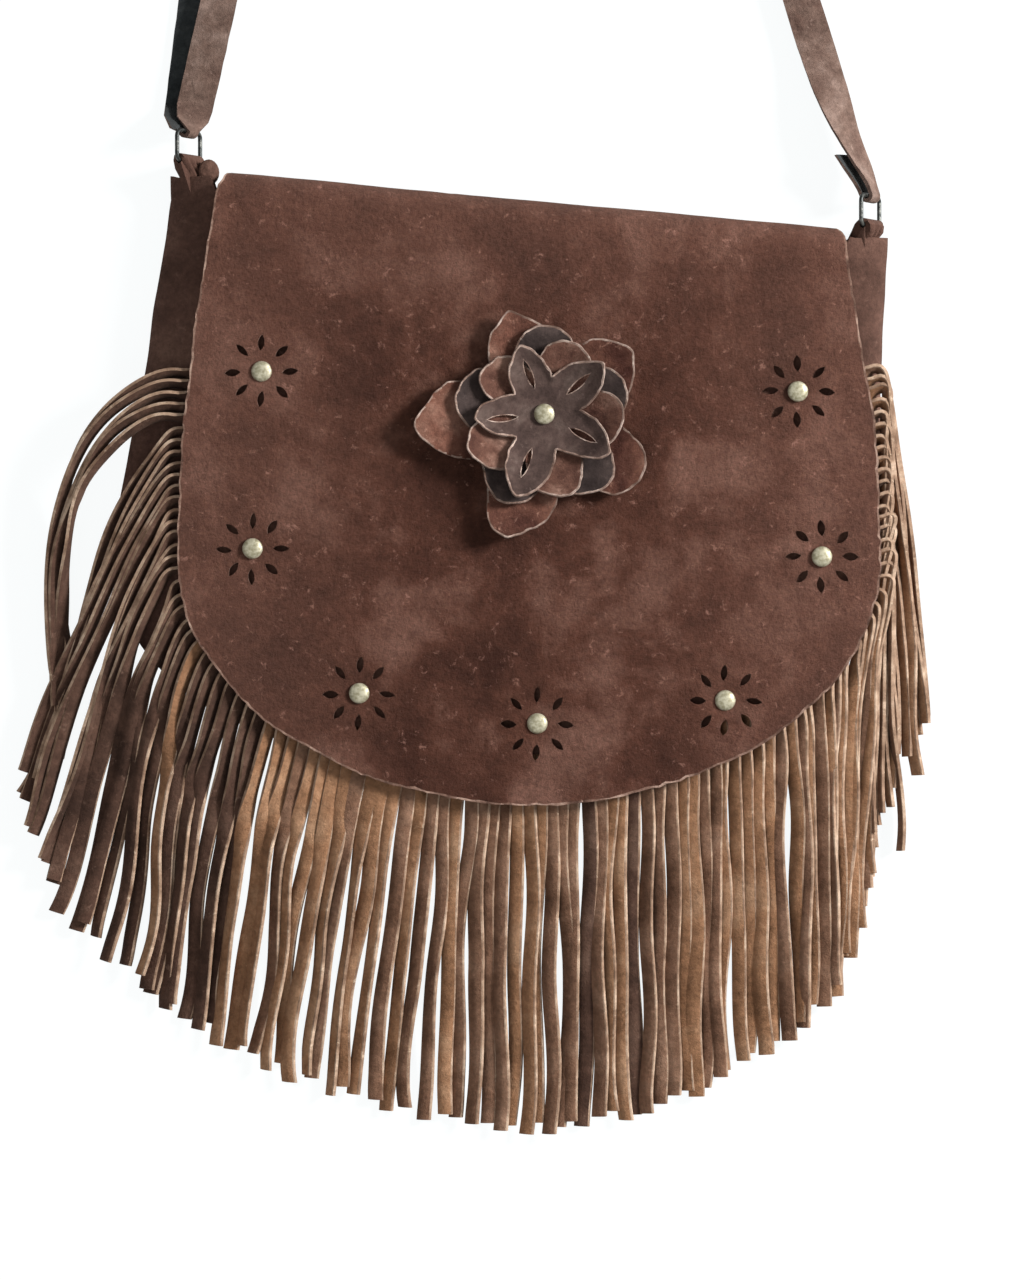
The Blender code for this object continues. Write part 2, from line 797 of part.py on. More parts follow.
def make_fringes():
    """Three lengths of fringe sewn end to end round the seam."""
    start = SEAM.distance_at_height(FRINGE_TOP_Y, -1)
    total = strip_count()
    left_end = int(total * LEFT_FRINGE_SHARE)
    right_start = total - int(total * RIGHT_FRINGE_SHARE)
    make_fringe("fringe_left", 0, left_end, total, start, fringe_suede())
    make_fringe("fringe_bottom", left_end, right_start, total, start, fringe_suede())
    make_fringe("fringe_right", right_start, total, total, start, fringe_suede())


RING_HALF_HEIGHT = RING_INNER_HEIGHT / 2 + RING_WIRE_RADIUS
RING_HALF_LENGTH = RING_INNER_LENGTH / 2 + RING_WIRE_RADIUS
RING_BAR = Vector((math.cos(RING_TURN), 0.0, -math.sin(RING_TURN)))
RING_FACE = Vector((math.sin(RING_TURN), 0.0, math.cos(RING_TURN)))
RING_Z = FOLD_RADIUS
UP = Vector((0.0, 0.0, 1.0))


def make_ring(name, centre):
    """A wire loop with rounded corners, turned edge-on to the front of the bag."""
    middle = Vector((centre[0], centre[1], RING_Z))
    corner_steps = 3
    sides = 6
    stations = []
    for corner in range(4):
        start = math.pi / 2 * corner
        across = 1 if corner in (0, 3) else -1
        upward = 1 if corner in (0, 1) else -1
        for step in range(corner_steps + 1):
            turn = start + math.pi / 2 * step / corner_steps
            out = RING_BAR * math.cos(turn) + Vector((0.0, 1.0, 0.0)) * math.sin(turn)
            bend = RING_BAR * across * (RING_HALF_LENGTH - RING_CORNER_RADIUS)
            bend = bend + Vector((0.0, upward * (RING_HALF_HEIGHT - RING_CORNER_RADIUS), 0.0))
            stations.append((middle + bend + out * RING_CORNER_RADIUS, out))
    points = []
    for point, out in stations:
        for side in range(sides):
            turn = 2 * math.pi * side / sides
            points.append(point + (out * math.cos(turn) + RING_FACE * math.sin(turn)) * RING_WIRE_RADIUS)
    faces = []
    for station in range(len(stations)):
        first = station * sides
        second = (station + 1) % len(stations) * sides
        for side in range(sides):
            after = (side + 1) % sides
            faces.append((first + side, first + after, second + after, second + side))
    mesh = mesh_from(name, points, faces)
    mesh.shade_smooth()
    return place(name, mesh, dark_metal())


def make_tab(name, centre, side):
    """A loop of suede round the lower bar of a ring, which stands on the raised end of the gusset."""
    bar_y = centre[1] - RING_HALF_HEIGHT
    foot_y = fold_y(side * BODY_TOP_HALF_WIDTH, MOUTH_BELOW_FOLD) + GUSSET_RISE + SUEDE / 2 + SEAM_GAP
    middle = Vector((centre[0], 0.0, RING_Z))
    steps = 6
    radius = TAB_THICKNESS / 2
    hole = RING_WIRE_RADIUS + WIRE_FIT
    outer = []
    inner = []
    for step in range(steps + 1):
        turn = math.pi * step / steps
        outer.append((radius * math.cos(turn), bar_y + radius * math.sin(turn)))
        inner.append((hole * math.cos(turn), bar_y + hole * math.sin(turn)))
    outer += [(-radius, foot_y), (0.0, foot_y), (radius, foot_y)]
    for step in range(1, 4):
        turn = math.pi + math.pi * step / 4
        inner.append((hole * math.cos(turn), bar_y + hole * math.sin(turn)))
    count = len(outer)
    points = []
    for end in (-0.5, 0.5):
        for ring in (outer, inner):
            for across, height in ring:
                lift = Vector((0.0, height, 0.0))
                points.append(middle + RING_FACE * across + RING_BAR * end * TAB_WIDTH + lift)
    faces = []
    for step in range(count):
        after = (step + 1) % count
        for a, b in ((0, 2), (3, 1), (1, 0), (2, 3)):
            faces.append((a * count + step, a * count + after, b * count + after, b * count + step))
    return place(name, mesh_from(name, points, faces), suede())


def strap_turn_centre(left_foot, right_foot):
    """The middle of the arch that the strap turns through at its top."""
    left_in = Vector((math.cos(STRAP_LEFT_RUN), -math.sin(STRAP_LEFT_RUN)))
    right_in = Vector((-math.cos(STRAP_RIGHT_RUN), -math.sin(STRAP_RIGHT_RUN)))
    left_sum = STRAP_TURN_RADIUS + left_in.dot(left_foot.xy)
    right_sum = STRAP_TURN_RADIUS + right_in.dot(right_foot.xy)
    determinant = left_in.x * right_in.y - left_in.y * right_in.x
    return Vector(
        (
            (left_sum * right_in.y - left_in.y * right_sum) / determinant,
            (left_in.x * right_sum - left_sum * right_in.x) / determinant,
            0.0,
        )
    )


LOOP_RADIUS = RING_WIRE_RADIUS + WIRE_FIT + STRAP_SUEDE / 2
LAYER_STEP = STRAP_SUEDE + SEAM_GAP
EDGE_Z = STRAP_WIDTH / 2 + SEAM_GAP
BAR_STACK = 2 * (STRAP_SUEDE / 2 + SEAM_GAP) + ADJUSTER_METAL
FRONT_LAYER_Z = STRAP_LIE + BAR_STACK + LAYER_STEP


def strap_way():
    """Stations along the strap, each its centre, the way across it and the way its suede face looks. It runs
    from the end turned round the adjuster's middle bar, down behind to the left ring, round it, up through
    the adjuster, round the arch and down to the right ring, where its end is turned back and sewn."""
    left_bar = Vector((RING_LEFT[0], RING_LEFT[1] + RING_HALF_HEIGHT, RING_Z))
    right_bar = Vector((RING_RIGHT[0], RING_RIGHT[1] + RING_HALF_HEIGHT, RING_Z))
    left_up = Vector((math.sin(STRAP_LEFT_RUN), math.cos(STRAP_LEFT_RUN), 0.0))
    right_up = Vector((-math.sin(STRAP_RIGHT_RUN), math.cos(STRAP_RIGHT_RUN), 0.0))
    centre = strap_turn_centre(left_bar, right_bar)
    left_length = (centre - left_bar).dot(left_up)
    right_length = (centre - right_bar).dot(right_up)
    stations = []

    def facing(up, turned):
        """Across and face directions of a run, flat at 0 and as the ring's bar lies at 1."""
        flat_across = Vector((up.y, -up.x, 0.0))
        across = flat_across.lerp(RING_BAR, turned).normalized()
        return across, across.cross(up).normalized()

    def layer(bar, up, travelled, spread, side):
        """A station of the front (1) or back (-1) layer near a ring."""
        turned = 1.0 - smoothstep(travelled / RING_TWIST_LENGTH)
        across, face = facing(up, turned)
        lie = FRONT_LAYER_Z if side > 0 else STRAP_LIE
        point = Vector((bar.x, bar.y, 0.0)) + up * travelled - across * spread * STRAP_SPREAD
        point = point + face * side * LOOP_RADIUS * turned
        point.z += lie + (RING_Z - lie) * turned
        return point, across, face * side

    def round_bar(bar, up):
        """Half a turn round a ring's bar, from the back layer to the front one."""
        across, face = facing(up, 1.0)
        below = across.cross(face)
        made = []
        for step in range(1, 4):
            turn = math.pi * step / 4
            out = face * -math.cos(turn) + below * math.sin(turn)
            made.append((bar + out * LOOP_RADIUS, across, out))
        return made

    def tipped(foot, up, travelled, tip, hand):
        """A station of a run that tips from lying flat to standing on its edge."""
        across, face = facing(up, 0.0)
        point = Vector((foot.x, foot.y, 0.0)) + up * travelled
        point.z = FRONT_LAYER_Z + (EDGE_Z - FRONT_LAYER_Z) * tip
        turn = math.pi / 2 * tip
        return (
            point,
            across * hand * math.cos(turn) - UP * math.sin(turn),
            face * math.cos(turn) + across * hand * math.sin(turn),
        )

    # Turned end on the adjuster's middle bar
    flat, _ = facing(left_up, 0.0)
    bar_centre = Vector((left_bar.x, left_bar.y, 0.0)) + left_up * ADJUSTER_UP_STRAP
    for back in END_STATIONS:
        stations.append((bar_centre - left_up * back + UP * (STRAP_LIE + BAR_STACK), flat, UP))
    for step in range(5):
        turn = math.pi / 2 - math.pi * step / 4
        out = left_up * math.cos(turn) + UP * math.sin(turn)
        middle = bar_centre + left_up * ADJUSTER_BAR / 2 + UP * (STRAP_LIE + BAR_STACK / 2)
        stations.append((middle + out * BAR_STACK / 2, flat, out))

    # Back layer, the turn round the left ring, and the front layer
    last_flat = ADJUSTER_UP_STRAP - ADJUSTER_LENGTH / 2
    spread_by, spread_until = STRAP_SPREAD_SHARES
    for travelled in BACK_LAYER_STATIONS:
        spread = smoothstep(travelled / spread_by) * smoothstep((last_flat - travelled) / spread_until)
        stations.append(layer(left_bar, left_up, travelled, spread, -1))
    stations.extend(round_bar(left_bar, left_up))
    for travelled in FRONT_LAYER_STATIONS:
        stations.append(layer(left_bar, left_up, travelled, 0.0, 1))

    # Up on its edge, round the arch and down again
    for step in range(1, TIPPING_STEPS + 1):
        share = step / TIPPING_STEPS
        travelled = STRAP_TIP_START + (left_length - STRAP_TIP_START) * share
        stations.append(tipped(left_bar, left_up, travelled, smoothstep(share), 1))
    start = math.pi - STRAP_LEFT_RUN
    sweep = start - STRAP_RIGHT_RUN
    arch_steps = 12
    for step in range(1, arch_steps):
        turn = start - sweep * step / arch_steps
        out = Vector((math.cos(turn), math.sin(turn), 0.0))
        stations.append((centre + out * STRAP_TURN_RADIUS + UP * EDGE_Z, -UP, -out))
    for step in range(TIPPING_STEPS + 1):
        share = 1 - step / TIPPING_STEPS
        travelled = RING_TWIST_LENGTH + (right_length - RING_TWIST_LENGTH) * share
        stations.append(tipped(right_bar, right_up, travelled, smoothstep(share), -1))

    # Front layer, the turn round the right ring, and the end sewn behind
    ending = []
    for travelled in RIGHT_LAYER_STATIONS:
        ending.append(layer(right_bar, right_up, travelled, 0.0, 1))
    ending.extend(reversed(round_bar(right_bar, right_up)))
    for travelled in (0.0, 0.012, TURNED_END_LENGTH):
        ending.append(layer(right_bar, right_up, travelled, 0.3 * travelled / TURNED_END_LENGTH, -1))
    for point, across, face in ending:
        stations.append((point, -across, face))
    return stations


def make_strap():
    """The whole strap, one band of suede."""
    stations = strap_way()
    points, faces = swept_band(
        [station[0] for station in stations],
        [station[1] for station in stations],
        [station[2] for station in stations],
        STRAP_WIDTH,
        STRAP_SUEDE,
    )
    return place("strap", mesh_from("strap", points, faces), strap_suede())


def make_adjuster():
    """The metal slider: a middle bar that holds the turned end of the strap, and two bars over the strap.
    It is built of the cells between its own lines, as a flat casting would be drawn."""
    up = Vector((math.sin(STRAP_LEFT_RUN), math.cos(STRAP_LEFT_RUN), 0.0))
    across = Vector((up.y, -up.x, 0.0))
    origin = Vector((RING_LEFT[0], RING_LEFT[1] + RING_HALF_HEIGHT, 0.0)) + up * ADJUSTER_UP_STRAP
    middle_low = STRAP_LIE + STRAP_SUEDE / 2 + SEAM_GAP
    outer_low = FRONT_LAYER_Z + STRAP_SUEDE / 2 + SEAM_GAP
    inside = STRAP_WIDTH / 2 + 2 * SEAM_GAP
    half = ADJUSTER_LENGTH / 2
    lines_x = (-inside - ADJUSTER_METAL, -inside, inside, inside + ADJUSTER_METAL)
    lines_y = (-half, ADJUSTER_BAR - half, -ADJUSTER_BAR / 2, ADJUSTER_BAR / 2, half - ADJUSTER_BAR, half)
    lines_z = (middle_low, middle_low + ADJUSTER_METAL, outer_low, outer_low + ADJUSTER_METAL)

    def is_metal(cell):
        x, y, z = cell
        if not (0 <= x < 3 and 0 <= y < 5 and 0 <= z < 3):
            return False
        return x != 1 or (y in (0, 4) and z == 2) or (y == 2 and z == 0)

    corners = {}
    points = []
    faces = []

    def corner(x, y, z):
        if (x, y, z) not in corners:
            corners[x, y, z] = len(points)
            points.append(origin + across * lines_x[x] + up * lines_y[y] + UP * lines_z[z])
        return corners[x, y, z]

    for x in range(3):
        for y in range(5):
            for z in range(3):
                if not is_metal((x, y, z)):
                    continue
                for axis in range(3):
                    for step in (0, 1):
                        beside = [x, y, z]
                        beside[axis] += 2 * step - 1
                        if is_metal(beside):
                            continue
                        face = []
                        for a, b in ((0, 0), (1, 0), (1, 1), (0, 1)):
                            at = [x, y, z]
                            at[axis] += step
                            at[(axis + 1) % 3] += a
                            at[(axis + 2) % 3] += b
                            face.append(corner(*at))
                        faces.append(tuple(face))
    return place("strap_adjuster", mesh_from("strap_adjuster", points, faces), dark_metal())


def main():
    clear_scene()
    make_back_panel()
    make_front_panel()
    make_gusset()
    make_flap()
    for number, centre in enumerate(ROSETTES, 1):
        make_rivet(f"rosette_rivet_{number}", centre, FLAP_LOW + SUEDE)
    for index in range(len(FLOWER_LAYERS)):
        make_petal_layer(index)
    make_rivet("flower_rivet", FLOWER_CENTRE, layer_low(len(FLOWER_LAYERS) - 1) + PETAL_SUEDE)
    make_fringes()
    make_ring("ring_left", RING_LEFT)
    make_ring("ring_right", RING_RIGHT)
    make_tab("ring_tab_left", RING_LEFT, -1)
    make_tab("ring_tab_right", RING_RIGHT, 1)
    make_strap()
    make_adjuster()


main()
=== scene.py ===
# The bag lies on its back panel on a pale surface, seen from straight above.
import math
import random

import bmesh
import bpy
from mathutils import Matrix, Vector, geometry, noise


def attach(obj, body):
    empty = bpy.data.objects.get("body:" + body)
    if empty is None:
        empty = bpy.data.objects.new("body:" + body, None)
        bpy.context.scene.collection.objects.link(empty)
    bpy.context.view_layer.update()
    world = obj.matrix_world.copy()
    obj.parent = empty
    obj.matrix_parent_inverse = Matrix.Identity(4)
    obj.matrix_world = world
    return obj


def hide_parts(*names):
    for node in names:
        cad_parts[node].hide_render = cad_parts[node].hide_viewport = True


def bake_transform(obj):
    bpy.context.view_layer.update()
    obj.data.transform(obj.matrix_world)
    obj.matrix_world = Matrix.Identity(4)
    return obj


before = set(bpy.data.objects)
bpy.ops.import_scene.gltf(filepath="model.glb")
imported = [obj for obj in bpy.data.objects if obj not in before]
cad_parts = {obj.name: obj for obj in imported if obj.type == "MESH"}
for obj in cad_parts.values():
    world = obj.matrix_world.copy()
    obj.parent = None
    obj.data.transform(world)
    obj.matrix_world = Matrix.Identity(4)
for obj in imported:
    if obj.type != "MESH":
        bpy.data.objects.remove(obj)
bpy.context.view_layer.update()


# Surface, light and camera. A white table carries the bag, with one large soft lamp over the right shoulder
# and an even pale room round it. The camera looks straight down, with its top towards the strap.
table_size = 6.0
table_mesh = bpy.data.meshes.new("table_top")
table_mesh.from_pydata(
    [(x * table_size, y * table_size, -0.0003) for x, y in ((-1, -1), (1, -1), (1, 1), (-1, 1))],
    [],
    [(0, 1, 2, 3)],
)
table_top = bpy.data.objects.new("table_top", table_mesh)
bpy.context.scene.collection.objects.link(table_top)


def white_surface(name, shadow_share):
    """A white surface that looks white to the camera and keeps some of the shadow that falls on it."""
    finish = bpy.data.materials.new(name)
    finish.use_nodes = True
    nodes, links = finish.node_tree.nodes, finish.node_tree.links
    nodes.clear()
    out = nodes.new("ShaderNodeOutputMaterial")
    plain = nodes.new("ShaderNodeBsdfDiffuse")
    plain.inputs["Color"].default_value = (0.86, 0.88, 0.89, 1.0)
    bright = nodes.new("ShaderNodeEmission")
    bright.inputs["Color"].default_value = (0.98, 0.998, 1.0, 1.0)
    bright.inputs["Strength"].default_value = 1.06
    path = nodes.new("ShaderNodeLightPath")
    seen = nodes.new("ShaderNodeMath")
    seen.operation = "MAXIMUM"
    links.new(path.outputs["Is Camera Ray"], seen.inputs[0])
    links.new(path.outputs["Is Glossy Ray"], seen.inputs[1])
    share = nodes.new("ShaderNodeMath")
    share.operation = "MULTIPLY"
    share.inputs[1].default_value = 1.0 - shadow_share
    links.new(seen.outputs[0], share.inputs[0])
    both = nodes.new("ShaderNodeMixShader")
    links.new(share.outputs[0], both.inputs["Fac"])
    links.new(plain.outputs[0], both.inputs[1])
    links.new(bright.outputs[0], both.inputs[2])
    links.new(both.outputs[0], out.inputs["Surface"])
    return finish


table_mesh.materials.append(white_surface("white_table", 0.12))

room = bpy.data.worlds.new("pale_room")
room.use_nodes = True
room.node_tree.nodes["Background"].inputs["Color"].default_value = (0.97, 0.99, 1.0, 1.0)
room.node_tree.nodes["Background"].inputs["Strength"].default_value = 0.36
bpy.context.scene.world = room


def soft_lamp(name, place, aim, size, power):
    """A square area lamp that looks at a point."""
    light = bpy.data.lights.new(name, "AREA")
    light.shape = "SQUARE"
    light.size = size
    light.energy = power
    lamp = bpy.data.objects.new(name, light)
    lamp.location = place
    lamp.rotation_euler = (Vector(aim) - Vector(place)).to_track_quat("-Z", "Y").to_euler()
    bpy.context.scene.collection.objects.link(lamp)


soft_lamp("key_lamp", (1.50, 0.58, 0.98), (0.0, -0.05, 0.0), 0.45, 60.0)
soft_lamp("fill_lamp", (-0.6, -0.9, 1.9), (0.0, -0.05, 0.0), 1.6, 7.0)

camera_height = 2.2
view_height = 0.5248
view = bpy.data.cameras.new("camera")
view.sensor_fit = "VERTICAL"
view.sensor_height = 24.0
view.lens = view.sensor_height * (camera_height - 0.012) / view_height
camera = bpy.data.objects.new("camera", view)
camera.location = (-0.0062, -0.0574, camera_height)
bpy.context.scene.collection.objects.link(camera)
bpy.context.scene.camera = camera
bpy.context.scene.view_settings.view_transform = "Standard"


# The hide: back panel, fold and flap are cut from one piece of suede. It lies flat under the bag, turns over
# the top and comes down over the front, with seven punched rosettes, rivet holes and a raw, brushed edge.
suede = 0.0014
fold_slope = math.radians(-5.2)
fold_y = 0.1228
fold_radius = 0.01235
half_top = 0.1293
half_wide = 0.1435
widest_y = -0.0246
flap_end_y = -0.1245
back_half_top = 0.1265
back_half_wide = 0.1385
back_end_y = -0.104
fold_along = Vector((math.cos(fold_slope), math.sin(fold_slope)))
fold_away = Vector((-math.sin(fold_slope), math.cos(fold_slope)))
middle_radius = fold_radius - suede / 2
fold_start = fold_y * math.cos(fold_slope) - fold_radius
fold_length = math.pi * middle_radius
rosette_centres = (
    (-0.1095, 0.0521),
    (-0.1132, -0.0201),
    (-0.0697, -0.0791),
    (0.0029, -0.0914),
    (0.0795, -0.0820),
    (0.1189, -0.0234),
    (0.1091, 0.0439),
)
flower_centre = (0.0057, 0.0344)
rivet_hole = 0.0016
flap_edge_steps = 150
back_edge_steps = 90
back_left_bulge = 0.008
fold_corner_draw = 0.0030
fold_side_steps = 12
punch_ring = 0.0115
punch_length = 0.0068
punch_width = 0.0029
rim_width = 0.0008


def smooth(value):
    value = min(max(value, 0.0), 1.0)
    return value * value * (3.0 - 2.0 * value)


def line_y(x, below):
    """Height of the line that lies below the crest of the fold, at x."""
    return fold_y - below / math.cos(fold_slope) + x * math.tan(fold_slope)


def panel_outline(top, wide, end_y, below, steps):
    """A panel's sides and round end, from its top left corner to its top right one."""
    points = []
    for side in (-1, 1):
        top_y = line_y(side * top, below)
        run = []
        for step in range(steps // 3):
            share = step / (steps // 3)
            half = top + (wide - top) * math.sin(share * math.pi / 2)
            run.append(Vector((side * half, top_y + (widest_y - top_y) * share)))
        if side < 0:
            points.extend(run)
            for step in range(steps + 1):
                turn = math.pi * step / steps
                low_y = widest_y + (end_y - widest_y) * math.sin(turn)
                points.append(Vector((-wide * math.cos(turn), low_y)))
        else:
            points.extend(reversed(run))
    return points


def wavering(point, seed, size, amount):
    """A small steady wander for a point of an edge."""
    where = Vector((point.x / size, point.y / size, seed))
    return Vector((noise.noise(where), noise.noise(where + Vector((0.0, 0.0, 31.7))))) * amount


def inside(point, loop):
    """Whether a point lies inside a closed loop."""
    within = False
    for before, here in zip(loop, loop[1:] + loop[:1]):
        if (before.y > point.y) != (here.y > point.y):
            if point.x < (here.x - before.x) * (point.y - before.y) / (here.y - before.y) + before.x:
                within = not within
    return within


def leaf_loop(centre, turn, length, width, steps=5):
    """The outline of one punched hole, a leaf with two pointed ends."""
    loop = []
    for side in (1, -1):
        for step in range(steps):
            share = step / steps
            along = side * length * (0.5 - share)
            across = side * width / 2 * math.sin(math.pi * share) ** 0.75
            loop.append(
                Vector(
                    (
                        centre[0] + along * math.cos(turn) - across * math.sin(turn),
                        centre[1] + along * math.sin(turn) + across * math.cos(turn),
                    )
                )
            )
    return loop


def drawn_in(loop, depth):
    """A loop moved to its left by a depth: inwards where it runs anticlockwise."""
    moved = []
    for before, here, after in zip(loop[-1:] + loop[:-1], loop, loop[1:] + loop[:1]):
        run = (after - before).normalized()
        moved.append(here + Vector((-run.y, run.x)) * depth)
    return moved


def cut_sheet(edge, holes, spacing, rims=()):
    """Triangles that fill an edge with even points, leaving the holes open. Gives points, faces and, for each
    face, whether it lies in one of the narrow rims, which are pairs of a loop and its drawn-in loop."""
    points = list(edge)
    ties = [(index, (index + 1) % len(edge)) for index in range(len(edge))]
    for hole in list(holes) + [inner for _, inner in rims]:
        first = len(points)
        points.extend(hole)
        ties.extend((first + index, first + (index + 1) % len(hole)) for index in range(len(hole)))
    rim_marks = []
    for outer, inner in rims:
        rim_marks.append({(round(point.x, 6), round(point.y, 6)) for point in list(outer) + list(inner)})
    low_x = min(point.x for point in edge)
    low_y = min(point.y for point in edge)
    columns = int((max(point.x for point in edge) - low_x) / spacing) + 1
    rows = int((max(point.y for point in edge) - low_y) / (spacing * 0.866)) + 1
    near = {}
    for point in points:
        near.setdefault((int(point.x / spacing), int(point.y / spacing)), []).append(point)
    for row in range(rows + 1):
        for column in range(columns + 1):
            point = Vector((low_x + (column + 0.5 * (row % 2)) * spacing, low_y + row * spacing * 0.866))
            cell = (int(point.x / spacing), int(point.y / spacing))
            close = False
            for side_x in (-1, 0, 1):
                for side_y in (-1, 0, 1):
                    for other in near.get((cell[0] + side_x, cell[1] + side_y), ()):
                        close = close or (other - point).length < spacing * 0.55
            if not close and inside(point, edge) and not any(inside(point, hole) for hole in holes):
                points.append(point)
    made, _, faces, _, _, _ = geometry.delaunay_2d_cdt(points, ties, [], 0, 1e-7)
    kept = []
    in_rim = []
    marks = [(round(point.x, 6), round(point.y, 6)) for point in made]
    hole_rounds = []
    for hole in holes:
        middle = sum(hole, Vector((0.0, 0.0))) / len(hole)
        hole_rounds.append((hole, middle, max((point - middle).length for point in hole)))
    for face in faces:
        centre = (made[face[0]] + made[face[1]] + made[face[2]]) / 3
        if not inside(centre, edge):
            continue
        close_holes = [hole for hole, middle, reach in hole_rounds if (centre - middle).length < reach]
        if any(inside(centre, hole) for hole in close_holes):
            continue
        kept.append(tuple(face))
        in_rim.append(any(all(marks[corner] in rim for corner in face) for rim in rim_marks))
    return made, kept, in_rim


def suede_finish(name, dark, main, pale, nap=1.0, patch_size=22.0, fleck=0.40, lighter_outwards=0.0):
    """Brushed suede: soft patches in three tones, a fine nap, and small pale flecks where it is scuffed."""
    finish = bpy.data.materials.new(name)
    finish.use_nodes = True
    nodes, links = finish.node_tree.nodes, finish.node_tree.links
    shader = nodes["Principled BSDF"]
    shader.inputs["Roughness"].default_value = 0.92
    shader.inputs["Specular IOR Level"].default_value = 0.10
    shader.inputs["Sheen Weight"].default_value = 0.05
    shader.inputs["Sheen Roughness"].default_value = 0.55
    shader.inputs["Sheen Tint"].default_value = (0.80, 0.62, 0.50, 1.0)
    where = nodes.new("ShaderNodeTexCoord")

    def grain(scale, detail, rough, bend=0.0):
        made = nodes.new("ShaderNodeTexNoise")
        made.inputs["Scale"].default_value = scale
        made.inputs["Detail"].default_value = detail
        made.inputs["Roughness"].default_value = rough
        made.inputs["Distortion"].default_value = bend
        links.new(where.outputs["Object"], made.inputs["Vector"])
        return made.outputs["Fac"]

    def ramp(source, stops):
        made = nodes.new("ShaderNodeValToRGB")
        while len(made.color_ramp.elements) > 1:
            made.color_ramp.elements.remove(made.color_ramp.elements[-1])
        made.color_ramp.elements[0].position = stops[0][0]
        made.color_ramp.elements[0].color = (*stops[0][1], 1.0)
        for place, colour in stops[1:]:
            made.color_ramp.elements.new(place).color = (*colour, 1.0)
        links.new(source, made.inputs["Fac"])
        return made.outputs["Color"]

    def blend(kind, share, first, second):
        made = nodes.new("ShaderNodeMix")
        made.data_type = "RGBA"
        made.blend_type = kind
        made.inputs["Factor"].default_value = 1.0
        if isinstance(share, float):
            made.inputs["Factor"].default_value = share
        else:
            links.new(share, made.inputs["Factor"])
        links.new(first, made.inputs[6])
        if isinstance(second, tuple):
            made.inputs[7].default_value = (*second, 1.0)
        else:
            links.new(second, made.inputs[7])
        return made.outputs[2]

    patches = ramp(grain(patch_size, 6.0, 0.60, 0.2), ((0.35, dark), (0.51, main), (0.68, pale)))
    # The colour is mixed towards the pale tone outwards: lighter towards the sides, and towards the top and
    # over the fold.
    if lighter_outwards:
        apart = nodes.new("ShaderNodeSeparateXYZ")
        links.new(where.outputs["Object"], apart.inputs["Vector"])
        far = nodes.new("ShaderNodeMath")
        far.operation = "ABSOLUTE"
        links.new(apart.outputs["X"], far.inputs[0])
        furthest = nodes.new("ShaderNodeMath")
        furthest.operation = "MAXIMUM"
        links.new(far.outputs[0], furthest.inputs[0])
        links.new(apart.outputs["Y"], furthest.inputs[1])
        worn = nodes.new("ShaderNodeMapRange")
        worn.inputs["From Min"].default_value = 0.05
        worn.inputs["From Max"].default_value = 0.145
        worn.inputs["To Max"].default_value = lighter_outwards
        links.new(furthest.outputs[0], worn.inputs["Value"])
        patches = blend("MIX", worn.outputs["Result"], patches, pale)
    fine = ramp(grain(480.0, 5.0, 0.75), ((0.30, (0.66,) * 3), (0.52, (1.0,) * 3), (0.72, (1.28,) * 3)))
    colour = blend("MULTIPLY", 0.85, patches, fine)
    strokes = ramp(grain(95.0, 3.0, 0.6, 1.2), ((0.36, (0.86,) * 3), (0.55, (1.0,) * 3), (0.72, (1.12,) * 3)))
    colour = blend("MULTIPLY", 0.8, colour, strokes)
    scuffs = ramp(grain(230.0, 7.0, 0.75, 0.4), ((0.59, (0.0,) * 3), (0.68, (fleck,) * 3)))
    colour = blend("MIX", scuffs, colour, tuple(min(value * 1.9 + 0.02, 1.0) for value in pale))
    links.new(colour, shader.inputs["Base Color"])

    nap_bump = nodes.new("ShaderNodeBump")
    nap_bump.inputs["Strength"].default_value = 0.60 * nap
    nap_bump.inputs["Distance"].default_value = 0.0009
    links.new(grain(900.0, 5.0, 0.75), nap_bump.inputs["Height"])
    soft_bump = nodes.new("ShaderNodeBump")
    soft_bump.inputs["Strength"].default_value = 0.35 * nap
    soft_bump.inputs["Distance"].default_value = 0.0022
    links.new(grain(150.0, 4.0, 0.6), soft_bump.inputs["Height"])
    links.new(nap_bump.outputs["Normal"], soft_bump.inputs["Normal"])
    links.new(soft_bump.outputs["Normal"], shader.inputs["Normal"])
    return finish


flap_suede = suede_finish("flap_suede", (0.046, 0.017, 0.011), (0.088, 0.034, 0.022), (0.172, 0.083, 0.060),
                          # The flap is made lighter towards its sides and its top.
                          nap=1.8, patch_size=28.0, fleck=0.60, lighter_outwards=0.50)
cut_edge = suede_finish("cut_edge", (0.10, 0.052, 0.038), (0.23, 0.135, 0.100), (0.46, 0.31, 0.24),
                        nap=1.2, patch_size=110.0)


def hide_point(flat):
    """Where a point of the unrolled hide ends up, with the way its suede faces."""
    along = flat.dot(fold_along)
    up = flat.dot(fold_away)
    if up <= fold_start:
        bent, high, out = up, fold_radius + middle_radius, (0.0, 1.0)
    elif up < fold_start + fold_length:
        turn = (up - fold_start) / middle_radius
        bent = fold_start + middle_radius * math.sin(turn)
        high = fold_radius + middle_radius * math.cos(turn)
        out = (math.sin(turn), math.cos(turn))
    else:
        bent = 2 * fold_start + fold_length - up
        high, out = fold_radius - middle_radius, (0.0, -1.0)
    ground = fold_along * along + fold_away * bent
    face = fold_away * out[0]
    return Vector((ground.x, ground.y, high)), Vector((face.x, face.y, out[1]))


